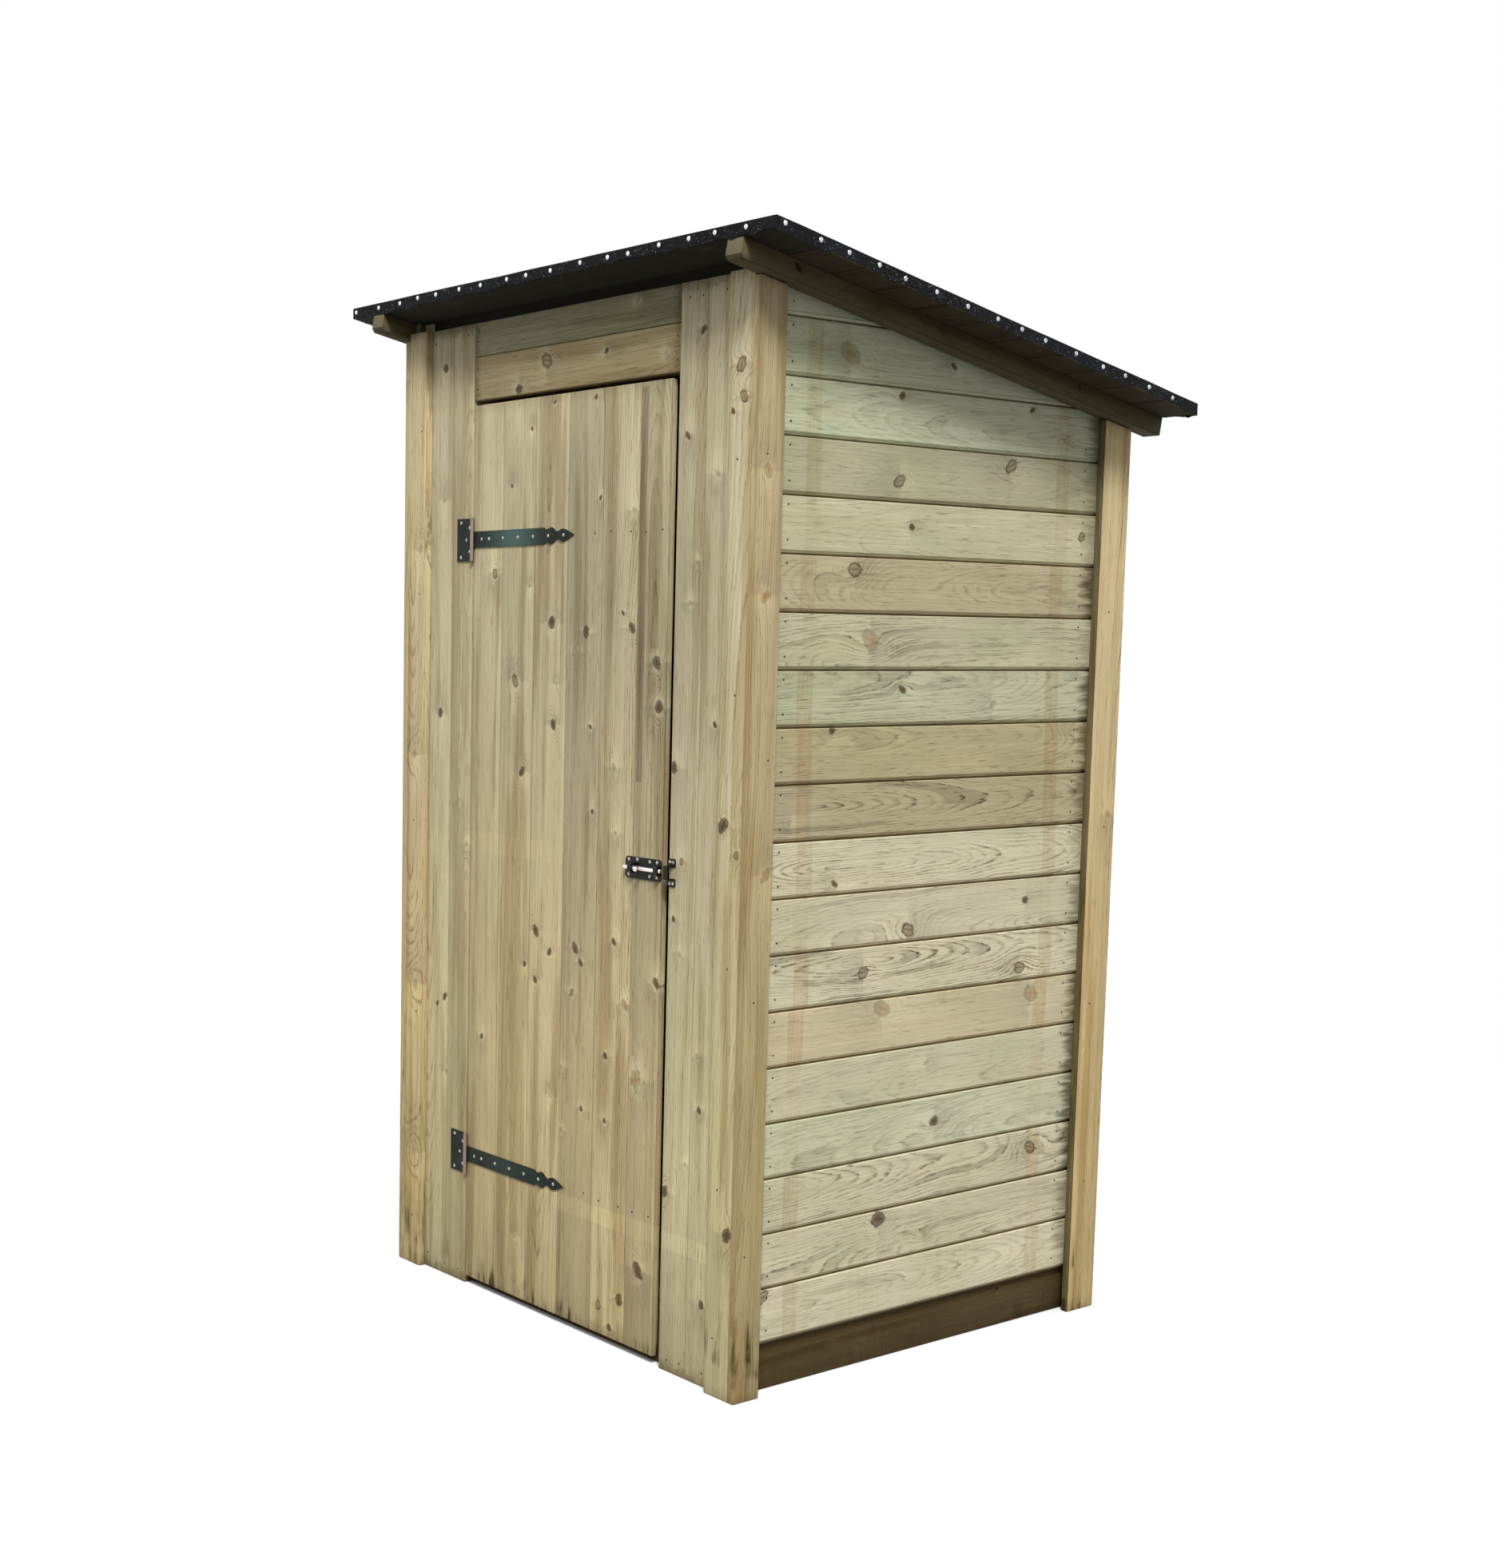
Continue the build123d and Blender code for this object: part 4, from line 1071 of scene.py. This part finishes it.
def floorBoards():
    low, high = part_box("floor_boards")
    bm = newPiece()
    cover = (high.y - low.y + floorSettings["gap"]) / floorSettings["boards"]
    for index in range(floorSettings["boards"]):
        y0 = low.y + index * cover
        addBox(bm, (low.x, y0, low.z), (high.x, y0 + cover - floorSettings["gap"], high.z))
        finishBoard(bm, xAxis, yAxis, zAxis, high.z)
    finishPiece(bm, "floorBoards", "cabin", woods["frameTimber"], ["floor_boards"])


floorBoards()
print("inside done")

# felt: turned down over the edges, with a ragged lower edge
feltSettings = {"step": 0.0075, "thickness": 0.002, "inset": 0.0014, "sunk": 0.0008, "drop": 0.024, "rows": 3,
                "torn": 0.0045, "tornRates": (23.0, 90.0), "wave": 0.0009, "waveRate": 9.0}


def makeRoofFelt():
    s = feltSettings
    low, high = felt
    bm = bmesh.new()
    lengthX = high.x - low.x - 2 * s["inset"]
    lengthY = (high.y - low.y - 2 * s["inset"]) / math.cos(roofPitch)
    turn = slopedTurn(Vector((0, low.y + s["inset"], high.z - s["sunk"])) + downSlope * (lengthY / 2))
    bmesh.ops.create_grid(bm, x_segments=round(lengthX / s["step"]), y_segments=round(lengthY / s["step"]),
                          size=0.5, matrix=turn @ Matrix.Diagonal((lengthX, lengthY, 1, 1)))
    for _ in range(s["rows"]):
        rim = [e for e in bm.edges if e.is_boundary]
        lower = vertsOf(bmesh.ops.extrude_edge_only(bm, edges=rim)["geom"])
        bmesh.ops.translate(bm, vec=-zAxis * s["drop"] / s["rows"], verts=lower)
    coarse, fine = s["tornRates"]
    for v in lower:  # the last row is torn
        v.co.z += s["torn"] * (noise.noise(v.co * coarse) + 0.8 * noise.noise(v.co * fine))
    for v in bm.verts:
        v.co -= roofNormal * s["wave"] * (0.6 + noise.noise(v.co * s["waveRate"]))
    bmesh.ops.recalc_face_normals(bm, faces=bm.faces)
    bmesh.ops.solidify(bm, geom=bm.faces[:], thickness=s["thickness"])
    bmesh.ops.recalc_face_normals(bm, faces=bm.faces)
    finishPiece(bm, "roofFelt", "cabin", feltMaterial, ["roof_felt"], smooth=40)


makeRoofFelt()
print("felt done")

# nails and screws, joined into one mesh for each group
fixings = {
    "nail": {"radius": 0.0025, "height": 0.0004, "sides": 8, "dome": 0.7},
    "clout": {"radius": 0.0052, "height": 0.0016, "sides": 12, "dome": 0.72},
    "screw": {"radius": 0.0038, "height": 0.0011, "sides": 14, "dome": 0.75,
              "slotWidth": 0.0011, "slotDepth": 0.0007},
}
cloutRow = {"first": 0.022, "last": 0.015, "every": 0.083, "drop": 0.011, "sideways": 0.012, "upwards": 0.002}
nailRows = {"strip": (0.12, 0.3, 0.62, 0.88), "stripBottom": 0.03, "stripTop": 0.025, "stripLoose": 0.006,
            "headerLeft": 0.012, "headerRight": 0.008, "header": (0.25, 0.75),
            "frontTrim": {"first": 0.12, "last": 0.0, "every": (0.3, 0.55), "loose": 0.02},
            "sideTrim": {"first": 0.3, "last": 0.05, "every": (0.35, 0.6), "loose": 0.015},
            "door": (0.22, 0.78), "doorLoose": 0.005, "underStraps": 0.03}


def facing(place, normal, spin=0.0):
    turn = normal.to_track_quat("Z", "Y").to_matrix().to_4x4() @ Matrix.Rotation(spin, 4, "Z")
    turn.translation = place
    return turn


def addHead(bm, place, normal, kind):
    f = fixings[kind]
    made = bmesh.ops.create_circle(bm, cap_ends=True, radius=f["radius"], segments=f["sides"],
                                   matrix=facing(place, normal))
    top = bmesh.ops.extrude_face_region(bm, geom=touching(made["verts"])[1])["geom"]
    lift = normal * f["height"]
    bmesh.ops.translate(bm, vec=lift, verts=vertsOf(top))
    bmesh.ops.scale(bm, vec=[f["dome"]] * 3, verts=vertsOf(top), space=Matrix.Translation(-(place + lift)))
    return [x for x in top if isinstance(x, bmesh.types.BMFace)]


def cutSlot(bm, crown, place, normal):
    # a slot across a screw's head, at a random turn
    f = fixings["screw"]
    across = facing(place, normal, luck.uniform(0, math.pi)).to_3x3() @ xAxis
    for sign in (1, -1):
        crown = [x for x in crown if x.is_valid]
        near = {v for x in crown for v in x.verts}
        cutEdges = {e for x in crown for e in x.edges}
        made = bmesh.ops.bisect_plane(bm, geom=list(near) + list(cutEdges) + crown, dist=1e-7,
                                      plane_co=place + across * sign * f["slotWidth"] / 2, plane_no=across)
        crown = [x for x in made["geom"] if isinstance(x, bmesh.types.BMFace)]
    middle = [x for x in crown if abs((x.calc_center_median() - place).dot(across)) < f["slotWidth"] / 2]
    sunk = bmesh.ops.extrude_discrete_faces(bm, faces=middle)["faces"]
    bmesh.ops.translate(bm, vec=-normal * f["slotDepth"], verts=list({v for x in sunk for v in x.verts}))


def fixingPiece(name, body, kind, spots):
    bm = bmesh.new()
    for place, normal in spots:
        crown = addHead(bm, place, normal, kind)
        if kind == "screw":
            cutSlot(bm, crown, place, normal)
    bmesh.ops.recalc_face_normals(bm, faces=bm.faces)
    finishPiece(bm, name, body, metals[kind + "Steel"], smooth=50)


def feltClouts():
    # along all four turned-down edges, a little uneven
    low, high = felt
    c = cloutRow
    spots = []

    def run(length):
        place = c["first"]
        while place < length - c["last"]:
            yield place + luck.uniform(-c["sideways"], c["sideways"])
            place += c["every"]

    def addClout(x, y, normal):
        z = high.z - math.tan(roofPitch) * (y - low.y) - c["drop"] + luck.uniform(-c["upwards"], c["upwards"])
        spots.append((Vector((x, y, z)) - normal * fixings["clout"]["height"], normal))

    for place in run(high.x - low.x):
        addClout(low.x + place, low.y, -yAxis)
        addClout(low.x + place, high.y, yAxis)
    for place in run(high.y - low.y):
        addClout(low.x, low.y + place, -xAxis)
        addClout(high.x, low.y + place, xAxis)
    return spots


def loosely(value, reach):
    return value + luck.uniform(-reach, reach)


def trimNails(node, across, outward, row):
    low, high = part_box(node)
    middle = (low + high) / 2
    spots = []
    z = low.z + row["first"]
    while z < high.z - row["last"]:
        spot = across * loosely(middle.dot(across), row["loose"]) + outward * outerFace(node, outward)
        spots.append((spot + zAxis * z, outward))
        z += luck.uniform(*row["every"])
    return spots


def frontNails():
    # at both ends of each upright strip and header board, and up the middle of each trim
    n = nailRows
    spots = []
    y = leftStrip[0].y
    for low, high in (leftStrip, rightStrip):
        for share in n["strip"]:
            for z in (low.z + n["stripBottom"], high.z - n["stripTop"]):
                x = low.x + (high.x - low.x) * share
                spots.append((Vector((x, y, loosely(z, n["stripLoose"]))), -yAxis))
    for node in ("header_board_lower", "header_board_upper"):
        low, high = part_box(node)
        for x in (low.x + n["headerLeft"], high.x - n["headerRight"]):
            spots += [(Vector((x, y, low.z + (high.z - low.z) * share)), -yAxis) for share in n["header"]]
    for side in ("left", "right"):
        spots += trimNails("front_trim_" + side, xAxis, -yAxis, n["frontTrim"])
    for side, outward in (("right", xAxis), ("left", -xAxis)):
        for end in ("front", "rear"):
            spots += trimNails("side_trim_" + end + "_" + side, yAxis, outward, n["sideTrim"])
    return spots


def doorNails():
    # two through each board into both ledges
    n = nailRows
    edges = [doorBox[0].x, *doorJoints, doorBox[1].x]
    spots = []
    for ledge in ("door_ledge_lower", "door_ledge_upper"):
        low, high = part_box(ledge)
        for left, right in zip(edges, edges[1:]):
            for share in n["door"]:
                z = loosely((low.z + high.z) / 2, n["doorLoose"])
                spots.append((Vector((left + (right - left) * share, doorBox[0].y, z)), -yAxis))
    return [s for s in spots if s[0].x > n["underStraps"]]  # the straps hide the others


hingeScrews = {"strap": (0.034, 0.062, 0.115, 0.170, 0.225, 0.279, 0.333),
               "plate": ((-0.046, 0.039), (-0.013, 0.027), (-0.025, 0.0), (-0.013, -0.027), (-0.046, -0.039)),
               "metal": 0.0025, "knuckleRadius": 0.0045}
latchScrews = {"plate": ((0.227, 0.016), (0.227, -0.015), (0.254, 0.017), (0.294, 0.016), (0.317, 0.016),
                         (0.294, -0.014), (0.316, -0.015)),
               "keeper": ((0.006, 0.0215), (0.0155, 0.0215), (0.006, -0.0215), (0.0155, -0.0215)),
               "metal": 0.002}


def hingeFixings():
    onDoor, onWall = [], []
    y = doorBox[0].y - hingeScrews["metal"]
    for level in ("upper", "lower"):
        z = sum(v.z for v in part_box(level + "_hinge_strap")) / 2
        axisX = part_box(level + "_hinge_plate")[1].x - hingeScrews["knuckleRadius"]
        onDoor += [(Vector((axisX + s, y, z)), -yAxis) for s in hingeScrews["strap"]]
        onWall += [(Vector((axisX + x, y, z + up)), -yAxis) for x, up in hingeScrews["plate"]]
    z = sum(v.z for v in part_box("latch_plate")) / 2
    y = doorBox[0].y - latchScrews["metal"]
    onDoor += [(Vector((x, y, z + up)), -yAxis) for x, up in latchScrews["plate"]]
    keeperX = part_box("latch_keeper")[0].x
    onWall += [(Vector((keeperX + x, y, z + up)), -yAxis) for x, up in latchScrews["keeper"]]
    return onDoor, onWall


doorScrews, wallScrews = hingeFixings()
fixingPiece("boardNails", "cabin", "nail", wallNails + frontNails())
fixingPiece("doorNails", "door", "nail", doorNails())
fixingPiece("feltClouts", "cabin", "clout", feltClouts())
fixingPiece("doorScrews", "door", "screw", doorScrews)
fixingPiece("wallScrews", "cabin", "screw", wallScrews)
print("nails and screws done")

# camera
cameraPlace = {"x": 3.5297, "y": -3.3246, "z": 1.5176, "azimuth": 54.052, "down": 6.228, "roll": 0.689,
               "lens": 47.62, "shiftX": 0.1723, "shiftY": 0.0505}


def makeCamera():
    c = cameraPlace
    azimuth, down, roll = (math.radians(c[k]) for k in ("azimuth", "down", "roll"))
    ahead = Vector((-math.sin(azimuth) * math.cos(down), math.cos(azimuth) * math.cos(down), -math.sin(down)))
    right = ahead.cross(zAxis).normalized()
    up = right.cross(ahead)
    right, up = math.cos(roll) * right + math.sin(roll) * up, -math.sin(roll) * right + math.cos(roll) * up
    data = bpy.data.cameras.new("camera")
    data.sensor_width = 36
    data.lens = c["lens"]
    data.shift_x, data.shift_y = c["shiftX"], c["shiftY"]
    turn = Matrix((right, up, -ahead)).transposed().to_4x4()
    turn.translation = (c["x"], c["y"], c["z"])
    scene.camera = addObject("camera", data)
    scene.camera.matrix_world = turn


makeCamera()

# floor, sky and soft lamps
studio = {"floorSize": 40.0, "floorDrop": 0.0005, "fadeStart": 2.2, "fadeEnd": 5.0,
          "skyHigh": 0.9, "skyLow": 0.28, "bounce": 0.14, "aimHeight": 1.1,
          "keyPower": 3300.0, "keyPlace": (8.0, -6.7, 14.5), "keySize": 4.0,
          "fillPower": 60.0, "fillPlace": (-5.0, -4.5, 4.0), "fillSize": 4.0}


def clearTree(owner):
    owner.use_nodes = True
    owner.node_tree.nodes.clear()
    return owner.node_tree


def seenDirectly(tree):
    path = addNode(tree, "ShaderNodeLightPath").outputs
    shiny = calc(tree, "MAXIMUM", path["Is Glossy Ray"], path["Is Transmission Ray"])
    return calc(tree, "MAXIMUM", path["Is Camera Ray"], shiny)


def makeFloor():
    s = studio
    bm = bmesh.new()
    drop = Matrix.Translation((0, 0, -s["floorDrop"]))
    bmesh.ops.create_grid(bm, x_segments=1, y_segments=1, size=s["floorSize"] / 2, matrix=drop)
    floor = addObject("studioFloor", meshOf(bm, "studioFloor"))
    material = bpy.data.materials.new("paleFloor")
    tree = clearTree(material)
    where = addNode(tree, "ShaderNodeTexCoord").outputs["Object"]
    far = addNode(tree, "ShaderNodeVectorMath", {0: where}, operation="LENGTH").outputs["Value"]
    matte = addNode(tree, "ShaderNodeBsdfDiffuse", {"Color": (0.8, 0.8, 0.8, 1)}).outputs[0]
    bounce = addNode(tree, "ShaderNodeBsdfDiffuse", {"Color": (s["bounce"],) * 3 + (1,)}).outputs[0]
    white = addNode(tree, "ShaderNodeEmission", {"Color": (1, 1, 1, 1), "Strength": 1.0}).outputs[0]
    farMix = fade(tree, far, s["fadeStart"], s["fadeEnd"])
    shown = addNode(tree, "ShaderNodeMixShader", {0: farMix, 1: matte, 2: white}).outputs[0]
    both = addNode(tree, "ShaderNodeMixShader", {0: seenDirectly(tree), 1: bounce, 2: shown}).outputs[0]
    addNode(tree, "ShaderNodeOutputMaterial", {"Surface": both})
    floor.data.materials.append(material)


def makeSky():
    s = studio
    world = bpy.data.worlds.new("softSky")
    scene.world = world
    tree = clearTree(world)
    up = split3(tree, addNode(tree, "ShaderNodeTexCoord").outputs["Generated"])[2]
    strength = fade(tree, up, -0.1, 0.7, s["skyLow"], s["skyHigh"])
    glow = addNode(tree, "ShaderNodeBackground", {"Color": (1, 1, 1, 1), "Strength": strength}).outputs[0]
    plain = addNode(tree, "ShaderNodeBackground", {"Color": (1, 1, 1, 1), "Strength": 1.0}).outputs[0]
    both = addNode(tree, "ShaderNodeMixShader", {0: seenDirectly(tree), 1: glow, 2: plain}).outputs[0]
    addNode(tree, "ShaderNodeOutputWorld", {"Surface": both})


def addLamp(name):
    lamp = bpy.data.lights.new(name, "AREA")
    lamp.energy = studio[name + "Power"]
    lamp.size = studio[name + "Size"]
    holder = addObject(name, lamp)
    holder.location = studio[name + "Place"]
    aim = zAxis * studio["aimHeight"] - holder.location
    holder.rotation_euler = aim.to_track_quat("-Z", "Y").to_euler()


makeFloor()
makeSky()
addLamp("key")
addLamp("fill")
scene.view_settings.view_transform = "Standard"
print("camera and light ready")
